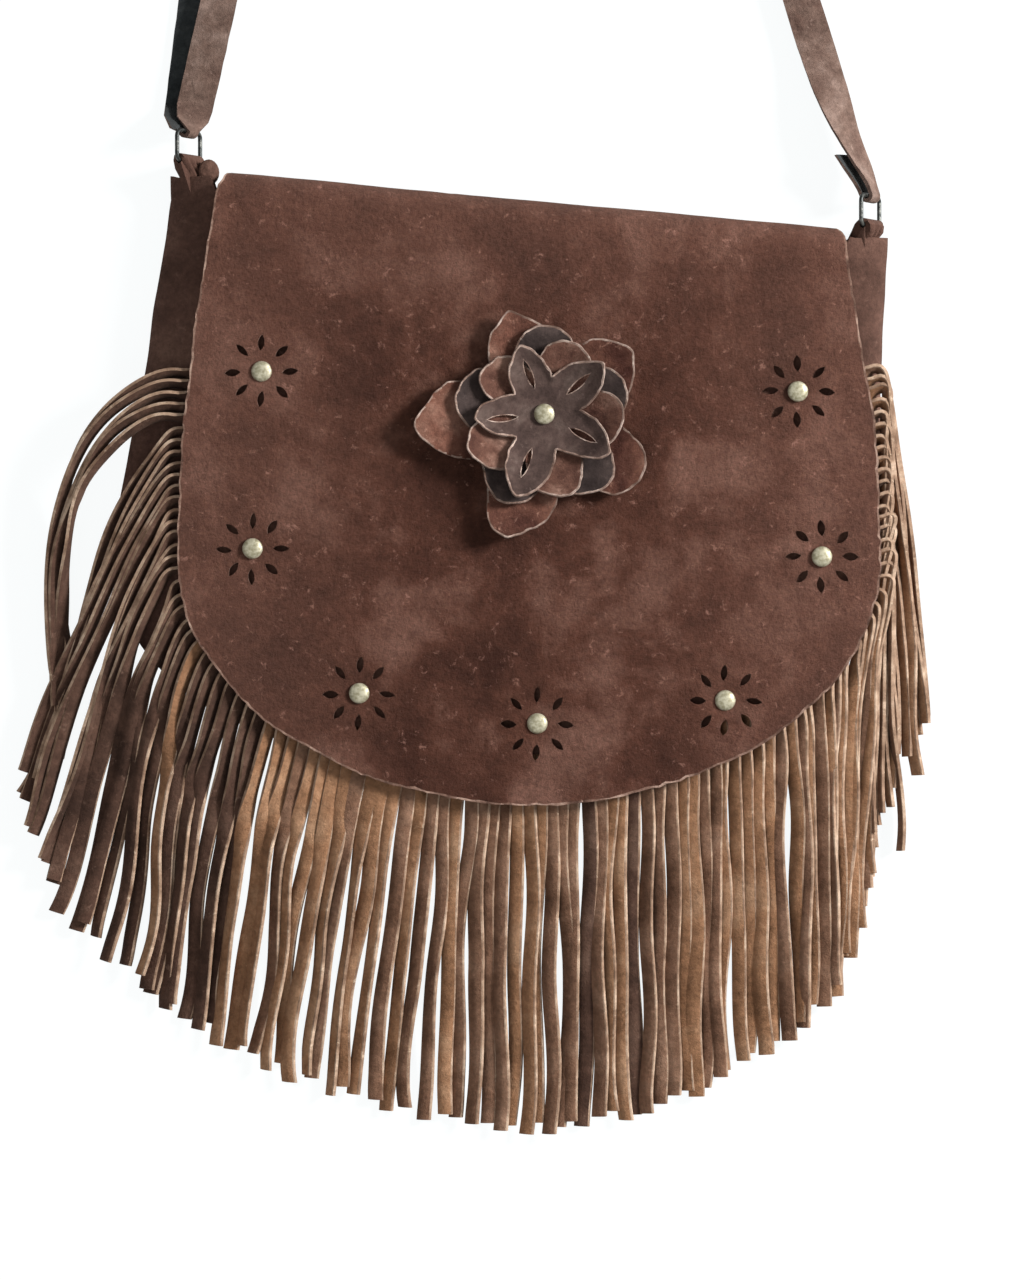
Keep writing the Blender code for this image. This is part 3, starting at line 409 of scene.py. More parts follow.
hide_edge = panel_outline(half_top, half_wide, flap_end_y, fold_radius, flap_edge_steps)
back_edge = panel_outline(back_half_top, back_half_wide, back_end_y, fold_radius, back_edge_steps)
for point in back_edge:
    if point.x < 0:
        share = (line_y(point.x, fold_radius) - point.y) / (fold_y - back_end_y)
        point.x -= back_left_bulge * math.sin(math.pi * min(max(share, 0.0), 1.0))
unrolled_back = []
for point in reversed(back_edge):
    along = point.dot(fold_along)
    up = 2 * fold_start + fold_length - point.dot(fold_away)
    unrolled_back.append(fold_along * along + fold_away * up)
fold_side = []
for step in range(1, fold_side_steps):
    share = step / fold_side_steps
    drawn = fold_along * fold_corner_draw * math.sin(math.pi * share) ** 3
    fold_side.append((hide_edge[-1].lerp(unrolled_back[0], share) - drawn,
                      hide_edge[0].lerp(unrolled_back[-1], share) + drawn))
hide_loop = hide_edge + [pair[0] for pair in fold_side] + unrolled_back
hide_loop += [pair[1] for pair in reversed(fold_side)]
ragged_loop = []
for point in hide_loop:
    ragged_loop.append(point + wavering(point, 3.1, 0.030, 0.0012) + wavering(point, 7.4, 0.0030, 0.0007))


def rivet_loop(centre, corners=10):
    """The round hole that a rivet's shank passes through."""
    turns = [2 * math.pi * step / corners for step in range(corners)]
    return [Vector(centre) + Vector((math.cos(turn), math.sin(turn))) * rivet_hole for turn in turns]


hide_holes = [rivet_loop(flower_centre)]
punch_draw = random.Random(11)
for centre in rosette_centres:
    hide_holes.append(rivet_loop(centre))
    for petal in range(8):
        turn = 2 * math.pi * petal / 8 + punch_draw.uniform(-0.05, 0.05)
        reach = punch_ring + punch_draw.uniform(-0.0004, 0.0004)
        place = (centre[0] + reach * math.cos(turn), centre[1] + reach * math.sin(turn))
        lean = turn + punch_draw.uniform(-0.16, 0.16)
        width = punch_width + punch_draw.uniform(-0.0004, 0.0004)
        hide_holes.append(leaf_loop(place, lean, punch_length, width))
edge_inner = drawn_in(ragged_loop, rim_width)
edge_inner = [point + wavering(point, 12.0, 0.002, 0.0006) for point in edge_inner]
flat_points, hide_faces, hide_rim = cut_sheet(ragged_loop, hide_holes, 0.0026, [(ragged_loop, edge_inner)])


def softness(point, size, seed):
    return noise.noise(Vector((point.x / size, point.y / size, seed)))


hide_points = []
for flat in flat_points:
    place, facing = hide_point(flat)
    on_flap = flat.dot(fold_away) < fold_start + fold_length / 2
    if on_flap:
        lift = 0.00050 * softness(flat, 0.060, 1.3) + 0.00022 * softness(flat, 0.016, 4.2)
        nearest = min((Vector(centre) - flat).length for centre in rosette_centres)
        lift += 0.00035 * math.exp(-((nearest - 0.0118) / 0.0035) ** 2)
        lift -= 0.0004 * math.exp(-(nearest / 0.005) ** 2)
        hem = smooth((-0.060 - flat.y) / 0.055)
        lift += hem * (0.0005 + 0.0009 * noise.noise(Vector((flat.x / 0.022, 0.0, 8.8))))
        place = place + facing * max(lift, -0.0006)
    hide_points.append(place)


def suede_sheet(name, points, faces, thickness, finish, edge_finish, in_rim=()):
    """A sheet cut from suede, as thick as it is, with the finish of its cut edge and of the rim beside it."""
    mesh = bpy.data.meshes.new(name)
    mesh.from_pydata([tuple(point) for point in points], [], faces)
    for one in (finish, edge_finish, edge_finish):
        mesh.materials.append(one)
    for polygon, pale in zip(mesh.polygons, in_rim):
        polygon.material_index = 1 if pale else 0
    sheet = bpy.data.objects.new(name, mesh)
    bpy.context.scene.collection.objects.link(sheet)
    wall = sheet.modifiers.new("suede_thickness", "SOLIDIFY")
    wall.thickness = thickness
    wall.offset = 0.0
    wall.material_offset_rim = 1
    bpy.context.view_layer.update()
    solid = bpy.data.meshes.new_from_object(sheet.evaluated_get(bpy.context.evaluated_depsgraph_get()))
    sheet.modifiers.clear()
    sheet.data = solid
    solid.shade_smooth()
    solid.set_sharp_from_angle(angle=math.radians(55))
    return sheet


suede_hide = suede_sheet("suede_hide", hide_points, hide_faces, suede, flap_suede, cut_edge, hide_rim)
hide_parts("back_panel", "flap")
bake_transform(suede_hide)


# Body of the bag: the front panel and one long gusset folded outwards between front and back. Both are the
# same suede, seamed inside, and the gusset's top ends stand up past the mouth where the ring tabs are sewn.
body_depth = 0.022
mouth_below = 0.0138
front_loop = panel_outline(back_half_top, back_half_wide, back_end_y, mouth_below, 120)
front_points, front_faces, _ = cut_sheet(front_loop, [], 0.0050)
front_middle_z = body_depth - suede / 2 - 0.0002
front_points = [(p.x, p.y, front_middle_z + 0.0003 * softness(p, 0.040, 2.2)) for p in front_points]
body_suede = suede_finish(
    "body_suede", (0.058, 0.029, 0.021), (0.098, 0.050, 0.037), (0.150, 0.082, 0.060), 1.0, 22.0, 0.2
)
front_panel_suede = suede_sheet(
    "front_panel_suede", front_points, front_faces, suede - 0.0002, body_suede, cut_edge
)
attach(front_panel_suede, "bag")
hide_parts("front_panel")

seam_line = panel_outline(back_half_top, back_half_wide, back_end_y, mouth_below, 96)
seam_lengths = [0.0]
for before, after in zip(seam_line, seam_line[1:]):
    seam_lengths.append(seam_lengths[-1] + (after - before).length)


def seam_at(distance):
    """The point and the outward way of the front seam, a distance from its top left end."""
    index = 1
    while index < len(seam_lengths) - 1 and seam_lengths[index] < distance:
        index += 1
    share = (distance - seam_lengths[index - 1]) / (seam_lengths[index] - seam_lengths[index - 1])
    run = (seam_line[min(index + 1, len(seam_line) - 1)] - seam_line[max(index - 2, 0)]).normalized()
    point = seam_line[index - 1].lerp(seam_line[index], share)
    return Vector((point.x, point.y, 0.0)), Vector((run.y, -run.x, 0.0))


def curve(start, start_pull, end, end_pull, t):
    """A cubic curve between two values or places, leaving and arriving with a pull."""
    return (
        start * (2 * t**3 - 3 * t**2 + 1)
        + start_pull * (t**3 - 2 * t**2 + t)
        + end * (3 * t**2 - 2 * t**3)
        + end_pull * (t**3 - t**2)
    )


def guided(places, share):
    """A smooth curve through (share, value) places, read at share."""
    index = 1
    while index < len(places) - 1 and places[index][0] < share:
        index += 1
    before, here = places[index - 1], places[index]
    first = places[max(index - 2, 0)]
    last = places[min(index + 1, len(places) - 1)]
    span = here[0] - before[0]
    start_slope = (here[1] - first[1]) / (here[0] - first[0])
    end_slope = (last[1] - before[1]) / (last[0] - before[0])
    return curve(before[1], start_slope * span, here[1], end_slope * span, (share - before[0]) / span)


def grid_faces(first, rows, along, closed):
    """Faces between rows of points, each row with as many points, and closed round where it is a tube's."""
    faces = []
    for row in range(rows - 1):
        here = first + along * row
        for place in range(along if closed else along - 1):
            after = (place + 1) % along
            faces.append((here + place, here + after, here + along + after, here + along + place))
    return faces


gusset_bulges = ((0.00, 0.0200), (0.12, 0.0232), (0.24, 0.0310), (0.34, 0.0200), (0.44, 0.0070),
                 (0.60, 0.0060), (0.86, 0.0070), (0.94, 0.0120), (1.00, 0.0200))
seam_gap = 0.0003
fringe_suede_thickness = 0.0013
seam_z = body_depth - suede - seam_gap - fringe_suede_thickness / 2
gusset_front_z = seam_z - fringe_suede_thickness / 2 - seam_gap - suede / 2
gusset_back_z = suede + seam_gap + suede / 2
gusset_drop = gusset_front_z - gusset_back_z
gusset_fold = ((0.0, 0.0), (0.34, 0.10), (0.62, 0.24), (0.88, 0.38), (1.00, 0.55), (0.88, 0.70), (0.62, 0.80),
               (0.30, 0.90), (0.0, 1.0))
gusset_steps = 150
gusset_end_steps = 5
seam_allowance = 0.0065
back_set_out = 0.008
end_reach = 0.0042
left_end_rise = 0.0120
right_end_rise = 0.0100
gusset_rows = []
for station in range(-gusset_end_steps, gusset_steps + gusset_end_steps + 1):
    share = min(max(station / gusset_steps, 0.0), 1.0)
    past = max(-station, station - gusset_steps, 0) / gusset_end_steps
    point, outward = seam_at(seam_lengths[-1] * share)
    outward = outward.lerp(Vector((math.copysign(1.0, point.x), 0.0, 0.0)), past).normalized()
    bulge = guided(gusset_bulges, share)
    spread = back_set_out * math.sin(math.pi * min(share / 0.46, 1.0))
    end_rise = Vector((0.0, (left_end_rise if point.x < 0 else right_end_rise) * past, 0.0))
    row = []
    for out, down in [(-seam_allowance, 0.0)] + list(gusset_fold) + [(-seam_allowance, 1.0)]:
        leaning = spread * down
        reach = leaning + out * (bulge - leaning) if out >= 0 else leaning + out
        pucker = 0.0
        if out > 0:
            pucker = 0.0009 * noise.noise(Vector((share * 34.0, down * 2.2, 5.5))) * min(out * 3, 1.0)
        high = gusset_front_z - down * gusset_drop
        wander = 0.0
        if past:
            reach = max(reach, end_reach * past)
            back_half = smooth((down - 0.2) / 0.3)
            high += (gusset_front_z - 0.47 * gusset_drop - high) * 0.45 * past * back_half
            high += 0.0010 * past * (1 - back_half)
            wander = 0.0012 * noise.noise(Vector((down * 6.0, share * 9.0, 2.0))) * past
        place = point + outward * (reach + pucker) + end_rise
        row.append(Vector((place.x, place.y + wander, high)))
    gusset_rows.append(row)
gusset_points = [point for row in gusset_rows for point in row]
gusset_faces = grid_faces(0, len(gusset_rows), len(gusset_rows[0]), False)
side_gusset = suede_sheet("side_gusset", gusset_points, gusset_faces, suede, body_suede, cut_edge)
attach(side_gusset, "bag")
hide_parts("gusset")


# Flower: four layers of five petals, each layer cut from one piece of leather and stacked under one rivet.
# Two show the suede side and two the dark grain side. The petals curl up and their cut edges stay pale.
petal_suede = 0.0012
layer_gap = 0.0005
petal_steps = 240
petal_rim = 0.0006
slit_rim = 0.0004
slit_length = 0.0128
slit_width = 0.0025
flap_face_z = fold_radius + middle_radius + suede / 2
flower_layers = (
    ((37, 0.0450), (110, 0.0450), (184, 0.0530), (253, 0.0530), (324, 0.0490)),
    ((20, 0.0352), (88, 0.0362), (166, 0.0367), (242, 0.0389), (307, 0.0380)),
    ((-6, 0.0325), (66, 0.0312), (138, 0.0310), (211, 0.0343), (281, 0.0347)),
    ((41, 0.0310), (111, 0.0290), (186, 0.0285), (250, 0.0355), (331, 0.0300)),
)
notch_radii = (0.0190, 0.0170, 0.0160, 0.0150)
layer_curls = (0.0065, 0.0095, 0.0135, 0.0180)
tip_shapes = ((1.45, 0.72), (2.0, 0.80), (2.2, 0.85), (1.25, 1.10))
petal_finishes = (
    suede_finish("petal_suede", (0.060, 0.022, 0.016), (0.155, 0.066, 0.045), (0.330, 0.180, 0.130),
                 1.2, 36.0),
    suede_finish("dark_petal_grain", (0.026, 0.018, 0.017), (0.048, 0.034, 0.031), (0.088, 0.062, 0.055),
                 0.5, 60.0, 0.25),
    suede_finish("brown_petal_suede", (0.060, 0.024, 0.018), (0.140, 0.066, 0.047), (0.270, 0.155, 0.115),
                 1.0, 60.0),
    suede_finish("top_petal_grain", (0.048, 0.030, 0.026), (0.084, 0.054, 0.046), (0.125, 0.088, 0.074),
                 0.5, 65.0, 0.30),
)
petal_edge = suede_finish(
    "petal_cut_edge", (0.12, 0.070, 0.052), (0.29, 0.195, 0.155), (0.60, 0.46, 0.39), 1.0, 150.0
)


def petal_reach(layer, angle):
    """How far a layer reaches at an angle: round-shouldered petals between narrow notches."""
    petals = flower_layers[layer]
    for number, (tip, reach) in enumerate(petals):
        before = petals[number - 1][0] - (360 if number == 0 else 0)
        after = petals[(number + 1) % 5][0] + (360 if number == 4 else 0)
        start = (before + tip) / 2
        end = (tip + after) / 2
        for whole in (-360, 0, 360):
            here = angle + whole
            if start <= here <= end:
                offset = (tip - here) / (tip - start) if here < tip else (here - tip) / (end - tip)
                pointed, full = tip_shapes[layer]
                rise = max(1.0 - offset**pointed, 0.0) ** full
                return notch_radii[layer] + (reach - notch_radii[layer]) * rise
    return notch_radii[layer]


for layer in range(4):
    slits = []
    if layer == 3:
        for tip, reach in flower_layers[3]:
            turn = math.radians(tip)
            place = Vector((math.cos(turn), math.sin(turn))) * reach * 0.60
            slits.append(leaf_loop(place, turn, slit_length, slit_width, 6))
    loop = []
    for step in range(petal_steps):
        angle = 360.0 * step / petal_steps
        reach = petal_reach(layer, angle)
        turn = math.radians(angle)
        point = Vector((math.cos(turn), math.sin(turn))) * reach
        ragged = wavering(point, 4.0 + layer, 0.004, 0.0006) + wavering(point, 9.0 + layer, 0.016, 0.0022)
        loop.append(point + ragged)
    rims = [(loop, [p + wavering(p, 6.0, 0.002, 0.0003) for p in drawn_in(loop, petal_rim)])]
    rims += [(slit, drawn_in(slit, -slit_rim)) for slit in slits]
    petal_points, petal_faces, pale_faces = cut_sheet(loop, [rivet_loop((0.0, 0.0))] + slits, 0.0013, rims)
    low = flap_face_z + layer_gap + layer * (petal_suede + layer_gap) + petal_suede / 2
    points = []
    for flat in petal_points:
        radius = flat.length
        lift = layer_curls[layer] * (radius / 0.050) ** 2
        reach = petal_reach(layer, math.degrees(math.atan2(flat.y, flat.x)))
        edge_share = smooth((radius / reach - 0.72) / 0.28)
        lift += edge_share * (0.0004 + 0.0002 * layer)
        lift += 0.0004 * softness(flat, 0.012, 3.0 * layer) * smooth(radius / 0.02)
        points.append((flower_centre[0] + flat.x, flower_centre[1] + flat.y, low + lift))
    petal_layer = suede_sheet(f"petal_layer_{layer + 1}", points, petal_faces, petal_suede - 0.0001,
                              petal_finishes[layer], petal_edge, pale_faces)
    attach(petal_layer, "flap")
    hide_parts(f"flower_layer_{layer + 1}")


# Rivets: one domed brass rivet in the middle of each rosette and one through the flower. The cap is pressed
# on a shank from the front, and a flat washer closes it behind the flap.
cap_radius = 0.0042
cap_height = 0.0019
shank_radius = 0.0012
washer_radius = 0.0036
washer_thickness = 0.0005
cap_rim = 0.00018


def worn_metal_finish(name, metallic, grain_scale, detail, dark, bright, dull):
    """Old metal in two tones, each given as its place and colour, with its dullness from one to the other."""
    finish = bpy.data.materials.new(name)
    finish.use_nodes = True
    nodes, links = finish.node_tree.nodes, finish.node_tree.links
    shader = nodes["Principled BSDF"]
    shader.inputs["Metallic"].default_value = metallic
    where = nodes.new("ShaderNodeTexCoord")
    worn = nodes.new("ShaderNodeTexNoise")
    worn.inputs["Scale"].default_value = grain_scale
    worn.inputs["Detail"].default_value = detail
    links.new(where.outputs["Object"], worn.inputs["Vector"])
    tone = nodes.new("ShaderNodeValToRGB")
    for stop, (place, colour) in zip(tone.color_ramp.elements, (dark, bright)):
        stop.position = place
        stop.color = (*colour, 1.0)
    links.new(worn.outputs["Fac"], tone.inputs["Fac"])
    links.new(tone.outputs["Color"], shader.inputs["Base Color"])
    dullness = nodes.new("ShaderNodeMapRange")
    dullness.inputs["To Min"].default_value, dullness.inputs["To Max"].default_value = dull
    links.new(worn.outputs["Fac"], dullness.inputs["Value"])
    links.new(dullness.outputs["Result"], shader.inputs["Roughness"])
    return finish


aged_brass = worn_metal_finish(
    "aged_brass", 0.55, 700.0, 4.0, (0.35, (0.30, 0.27, 0.17)), (0.62, (0.56, 0.52, 0.38)), (0.60, 0.42)
)


def rivet_shape(name, cap_seat):
    """One rivet about the line x = y = 0, turned from its profile."""
    back_top = flap_face_z - suede - seam_gap
    cap_low = cap_seat + seam_gap
    dome_low = cap_low + cap_rim
    profile = [(washer_radius, back_top - washer_thickness), (washer_radius, back_top),
               (shank_radius, back_top), (shank_radius, cap_low), (cap_radius * 0.93, cap_low),
               (cap_radius, dome_low)]
    for step in range(1, 8):
        turn = math.pi / 2 * step / 8
        profile.append((cap_radius * math.cos(turn), dome_low + (cap_height - cap_rim) * math.sin(turn)))
    sides = 28
    points = [(0.0, 0.0, profile[0][1])]
    for radius, height in profile:
        for side in range(sides):
            turn = 2 * math.pi * side / sides
            points.append((radius * math.cos(turn), radius * math.sin(turn), height))
    points.append((0.0, 0.0, cap_low + cap_height))
    faces = grid_faces(1, len(profile), sides, True)
    first = 1 + (len(profile) - 1) * sides
    for side in range(sides):
        after = (side + 1) % sides
        faces.append((0, 1 + after, 1 + side))
        faces.append((first + side, first + after, len(points) - 1))
    mesh = bpy.data.meshes.new(name)
    mesh.from_pydata(points, [], faces)
    mesh.shade_smooth()
    mesh.set_sharp_from_angle(angle=math.radians(50))
    return bpy.data.objects.new(name, mesh)


def set_out(name, pattern, places, size=1.0):
    """Copies of a pattern object at places, made by Geometry Nodes and turned into one plain mesh."""
    tree = bpy.data.node_groups.new(name + "_tree", "GeometryNodeTree")
    tree.interface.new_socket("Places", in_out="INPUT", socket_type="NodeSocketGeometry")
    size_socket = tree.interface.new_socket("Pattern size", in_out="INPUT", socket_type="NodeSocketFloat")
    finish_socket = tree.interface.new_socket("Finish", in_out="INPUT", socket_type="NodeSocketMaterial")
    tree.interface.new_socket("Pieces", in_out="OUTPUT", socket_type="NodeSocketGeometry")
    nodes, links = tree.nodes, tree.links
    given = nodes.new("NodeGroupInput")
    result = nodes.new("NodeGroupOutput")
    shape = nodes.new("GeometryNodeObjectInfo")
    shape.inputs["Object"].default_value = pattern
    copies = nodes.new("GeometryNodeInstanceOnPoints")
    real = nodes.new("GeometryNodeRealizeInstances")
    coloured = nodes.new("GeometryNodeSetMaterial")
    links.new(given.outputs["Places"], copies.inputs["Points"])
    links.new(shape.outputs["Geometry"], copies.inputs["Instance"])
    links.new(given.outputs["Pattern size"], copies.inputs["Scale"])
    links.new(copies.outputs["Instances"], real.inputs["Geometry"])
    links.new(real.outputs["Geometry"], coloured.inputs["Geometry"])
    links.new(given.outputs["Finish"], coloured.inputs["Material"])
    links.new(coloured.outputs["Geometry"], result.inputs["Pieces"])
    mesh = bpy.data.meshes.new(name)
    mesh.from_pydata([(x, y, 0.0) for x, y in places], [], [])
    piece = bpy.data.objects.new(name, mesh)
    bpy.context.scene.collection.objects.link(piece)
    maker = piece.modifiers.new(name, "NODES")
    maker.node_group = tree
    maker[size_socket.identifier] = size
    maker[finish_socket.identifier] = aged_brass
    bpy.context.view_layer.update()
    solid = bpy.data.meshes.new_from_object(piece.evaluated_get(bpy.context.evaluated_depsgraph_get()))
    piece.modifiers.clear()
    piece.data = solid
    bpy.data.objects.remove(pattern, do_unlink=True)
    return piece


rosette_rivets = set_out("rosette_rivets", rivet_shape("rosette_rivet_pattern", flap_face_z), rosette_centres)
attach(rosette_rivets, "flap")
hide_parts(*[f"rosette_rivet_{number}" for number in range(1, 8)])
flower_seat = flap_face_z + 4 * (layer_gap + petal_suede) + 0.0005
flower_cap = set_out("flower_cap", rivet_shape("flower_rivet_pattern", flower_seat), [flower_centre])
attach(flower_cap, "flap")
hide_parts("flower_rivet")


# Fringe: long strips cut in bands of suede whose uncut edge is sewn into the front seam. The strips fall over
# the gusset and lie on the table, on edge and crossing at the sides, flat and side by side at the bottom.
strip_width = 0.0064
strip_pitch = 0.0047
across_places = (-1.0, -0.55, 0.0, 0.45, 0.84, 1.0)
fringe_top_y = 0.056
strip_gap = 0.0008
twisted_by = 0.24
left_share = 0.22
right_share = 0.20
hanging_places = (
    (0.00, -0.1905), (0.04, -0.1930), (0.07, -0.2060), (0.11, -0.2030), (0.16, -0.1900), (0.20, -0.1720),
    (0.25, -0.1500), (0.30, -0.1270), (0.40, -0.0680), (0.50, -0.0020), (0.60, 0.0530), (0.70, 0.1030),
    (0.76, 0.1250), (0.80, 0.1330), (0.85, 0.1395), (0.90, 0.1440), (0.95, 0.1500), (1.00, 0.1640),
)
tip_leans = ((0.00, 9.0), (0.04, 4.0), (0.07, -22.0), (0.12, -22.0), (0.20, -14.0), (0.30, -6.0), (0.50, 0.0),
             (0.75, 3.0), (1.00, 5.0))
strip_lengths = ((0.00, 0.158), (0.12, 0.159), (0.25, 0.148), (0.38, 0.150), (0.50, 0.156), (0.62, 0.151),
                 (0.75, 0.142), (0.88, 0.148), (1.00, 0.158))
strip_steps = 44
strip_places = [(step / strip_steps) ** 1.3 for step in range(strip_steps + 1)]
hook_share = 0.055
right_hook_extra = 0.035
root_pull = 0.014
low_root_pull = 0.060
corner_bow = 2.6
end_pull_share = 0.75
gathered_every = 7
gathered_shift = 0.0120
turned_up = 1.30
strip_wander = 0.0040
# Most strips on the left side take the dark suede. This is partly their own darker tone and partly painted
# shade for the deep shadow on that side of the fringe.
left_dark_and_shade_share = 0.85
other_dark_share = 0.08
brown_share = 0.35
strip_draw = random.Random(23)


def line_length(points):
    return sum((after - before).length for before, after in zip(points, points[1:]))


def strip_route(root, outward, share, shift, shorter):
    """Centres down one strip: out of the seam, over the gusset, then down beside its neighbours."""
    target_x = guided(hanging_places, share) + shift
    lean = math.radians(guided(tip_leans, share)) + strip_draw.uniform(-0.05, 0.05)
    wanted = guided(strip_lengths, share) - shorter
    bow = corner_bow if share < 0.05 else strip_draw.uniform(0.5, 1.2)
    left_low = smooth((share - 0.17) / 0.05) * smooth((0.50 - share) / 0.14)
    sideways_pull = bow * abs(target_x - root.x) * abs(outward.x)
    start_pull = outward * (root_pull + low_root_pull * left_low + sideways_pull)
    end_share = end_pull_share * (1 + smooth((0.06 - share) / 0.02))
    on_right = smooth((share - 0.74) / 0.08)
    hook = (outward + Vector((0.0, 0.35 + 0.25 * on_right, 0.0))) * smooth(abs(outward.x) / 0.6)
    left_hook = strip_draw.uniform(0.0026, 0.0048)
    right_hook = strip_draw.uniform(0.0056, 0.0088)
    hook *= left_hook * (1 - on_right) + right_hook * on_right
    hook_at = hook_share + right_hook_extra * on_right

    def route(end_y):
        end = Vector((target_x, end_y, 0.0))
        end_pull = Vector((math.sin(lean), -math.cos(lean), 0.0)) * end_share * (root.y - end_y)
        made = []
        for t in strip_places:
            hooked = hook * t / hook_at * math.exp(1 - t / hook_at)
            made.append(curve(root, start_pull, end, end_pull, t) + hooked)
        return made

    low, high = root.y - wanted, root.y
    for _ in range(18):
        middle = (low + high) / 2
        if line_length(route(middle)) > wanted:
            low = middle
        else:
            high = middle
    return route((low + high) / 2)


fringe_start = next(l for p, l in zip(seam_line, seam_lengths) if p.y < fringe_top_y)
fringe_end = next(l for p, l in zip(reversed(seam_line), reversed(seam_lengths)) if p.y < fringe_top_y)
strip_total = int((fringe_end - fringe_start) / strip_pitch)
fringe_finishes = (
    suede_finish("fringe_suede", (0.195, 0.096, 0.049), (0.315, 0.162, 0.086), (0.430, 0.252, 0.148),
                 1.3, 38.0, 0.2),
    # The dark suede is a real darker leather, and on the left side it also stands for painted shade.
    suede_finish("fringe_dark_suede_and_shade", (0.046, 0.024, 0.017), (0.088, 0.046, 0.032), (0.135, 0.078, 0.055),
                 1.0, 40.0),
    suede_finish("strip_cut_edge", (0.20, 0.120, 0.078), (0.36, 0.235, 0.160), (0.56, 0.41, 0.30), 0.8, 90.0),
    suede_finish("fringe_brown_suede", (0.120, 0.060, 0.036), (0.205, 0.108, 0.067), (0.300, 0.175, 0.115),
                 1.3, 45.0, 0.2),
)


def solid_piece(name, points, faces, finishes, face_finishes, node, smooth_angle):
    """A closed piece of the bag's body that stands for a CAD node."""
    mesh = bpy.data.meshes.new(name)
    mesh.from_pydata([tuple(point) for point in points], [], faces)
    for finish in finishes:
        mesh.materials.append(finish)
    for polygon, number in zip(mesh.polygons, face_finishes):
        polygon.material_index = number
    shape = bmesh.new()
    shape.from_mesh(mesh)
    bmesh.ops.recalc_face_normals(shape, faces=shape.faces)
    shape.to_mesh(mesh)
    shape.free()
    mesh.shade_smooth()
    mesh.set_sharp_from_angle(angle=math.radians(smooth_angle))
    piece = bpy.data.objects.new(name, mesh)
    bpy.context.scene.collection.objects.link(piece)
    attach(piece, "bag")
    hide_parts(node)


def fringe_strip(strip):
    """The points of one strip, row by row down from the seam, and the number of its finish."""
    middle = fringe_start + (strip + 0.5) * strip_pitch
    share = (strip + 0.5) / strip_total
    root, outward = seam_at(middle)
    sideways = abs(2 * share - 1)
    shift = strip_draw.uniform(-0.0014, 0.0014) * (1 + sideways)
    shift += 0.0040 * noise.noise(Vector((strip * 0.17, 4.4, 0.0)))
    if share > 0.84 and strip % gathered_every == 3:
        shift += gathered_shift
    shorter = strip_draw.uniform(-0.001, 0.004) * (1 + 1.2 * sideways)
    route = strip_route(root, outward, share, shift, shorter)
    width = strip_width + strip_draw.uniform(-0.0005, 0.0005)
    before_x = guided(hanging_places, max(share - 0.5 / strip_total, 0.0))
    after_x = guided(hanging_places, min(share + 0.5 / strip_total, 1.0))
    room = max(after_x - before_x - strip_gap * 0.4, 0.0)
    on_left = share < left_share
    edge_on = min(math.acos(min(room / width, 1.0)), turned_up) * strip_draw.uniform(0.50, 1.0)
    handed = -1 if share < 0.5 else 1
    wave_seed = strip_draw.uniform(0.0, 90.0)
    tip_twist = strip_draw.uniform(-0.25, 0.25)
    at_bottom = smooth((0.80 - sideways) / 0.25)
    leaning = strip_draw.uniform(0.25, 0.60 + 0.45 * (share < 0.42)) * at_bottom
    root_twist = strip_draw.uniform(1.05, 1.35)
    root_twist -= 0.34 * smooth((share - 0.17) / 0.07) * smooth((0.55 - share) / 0.05)
    cupping = strip_draw.uniform(0.0005, 0.0012)
    hooked_until = strip_draw.uniform(0.06, 0.16) + 0.25 * smooth((sideways - 0.62) / 0.2)
    hooked_until += 0.16 * smooth((0.46 - share) / 0.08)
    layer_lift = (strip % 2) * 0.0016 + strip_draw.uniform(0.0, 0.0035 if on_left else 0.0005)
    points = []
    centres = [root - outward * seam_allowance] + route
    for index, centre in enumerate(centres):
        travelled = strip_places[max(index - 1, 0)]
        before = centres[max(index - 1, 0)]
        after = centres[min(index + 1, len(centres) - 1)]
        run = (after - before).normalized()
        flat_side = Vector((-run.y, run.x, 0.0))
        wander = strip_wander * smooth(travelled / 0.5)
        wander *= noise.noise(Vector((travelled * 3.2, wave_seed, 0.0)))
        hanging = handed * edge_on * (1 - at_bottom) + leaning
        hooked = smooth(abs(outward.x) / 0.55) * (1 - smooth((travelled - hooked_until) / 0.20))
        twist = hanging * smooth(travelled / twisted_by) * (1 - hooked)
        twist += handed * root_twist * hooked * smooth(travelled / 0.025)
        curl = tip_twist + 0.45 * noise.noise(Vector((travelled * 2.4, wave_seed, 7.0)))
        twist += curl * smooth((travelled - 0.25) / 0.5)
        side = flat_side * math.cos(twist) + Vector((0, 0, 1)) * math.sin(twist)
        normal = run.cross(side)
        if normal.z < 0:
            normal = -normal
        drop = smooth((travelled - 0.12) / 0.80)
        rest = width / 2 * abs(math.sin(twist)) + 0.0012
        high = seam_z + (max(rest, 0.0016) + layer_lift - seam_z) * drop
        place = Vector((centre.x, centre.y, high)) + flat_side * wander
        cup = cupping * smooth(travelled / 0.08)
        for thick, places in ((1, across_places), (-1, across_places[::-1])):
            for across in places:
                rise = thick * fringe_suede_thickness / 2 - cup * (across * across - 0.5)
                points.append(place + side * across * width / 2 + normal * rise)
    # On the left the dark suede is partly painted shade. Elsewhere it is only the strips' own darker tone.
    dark_and_shade_share = left_dark_and_shade_share if share < left_share + 0.06 else other_dark_share
    drawn = strip_draw.random()
    tone = 1 if drawn < dark_and_shade_share else 3 if drawn < dark_and_shade_share + brown_share * (1 - dark_and_shade_share) else 0
    return points, tone


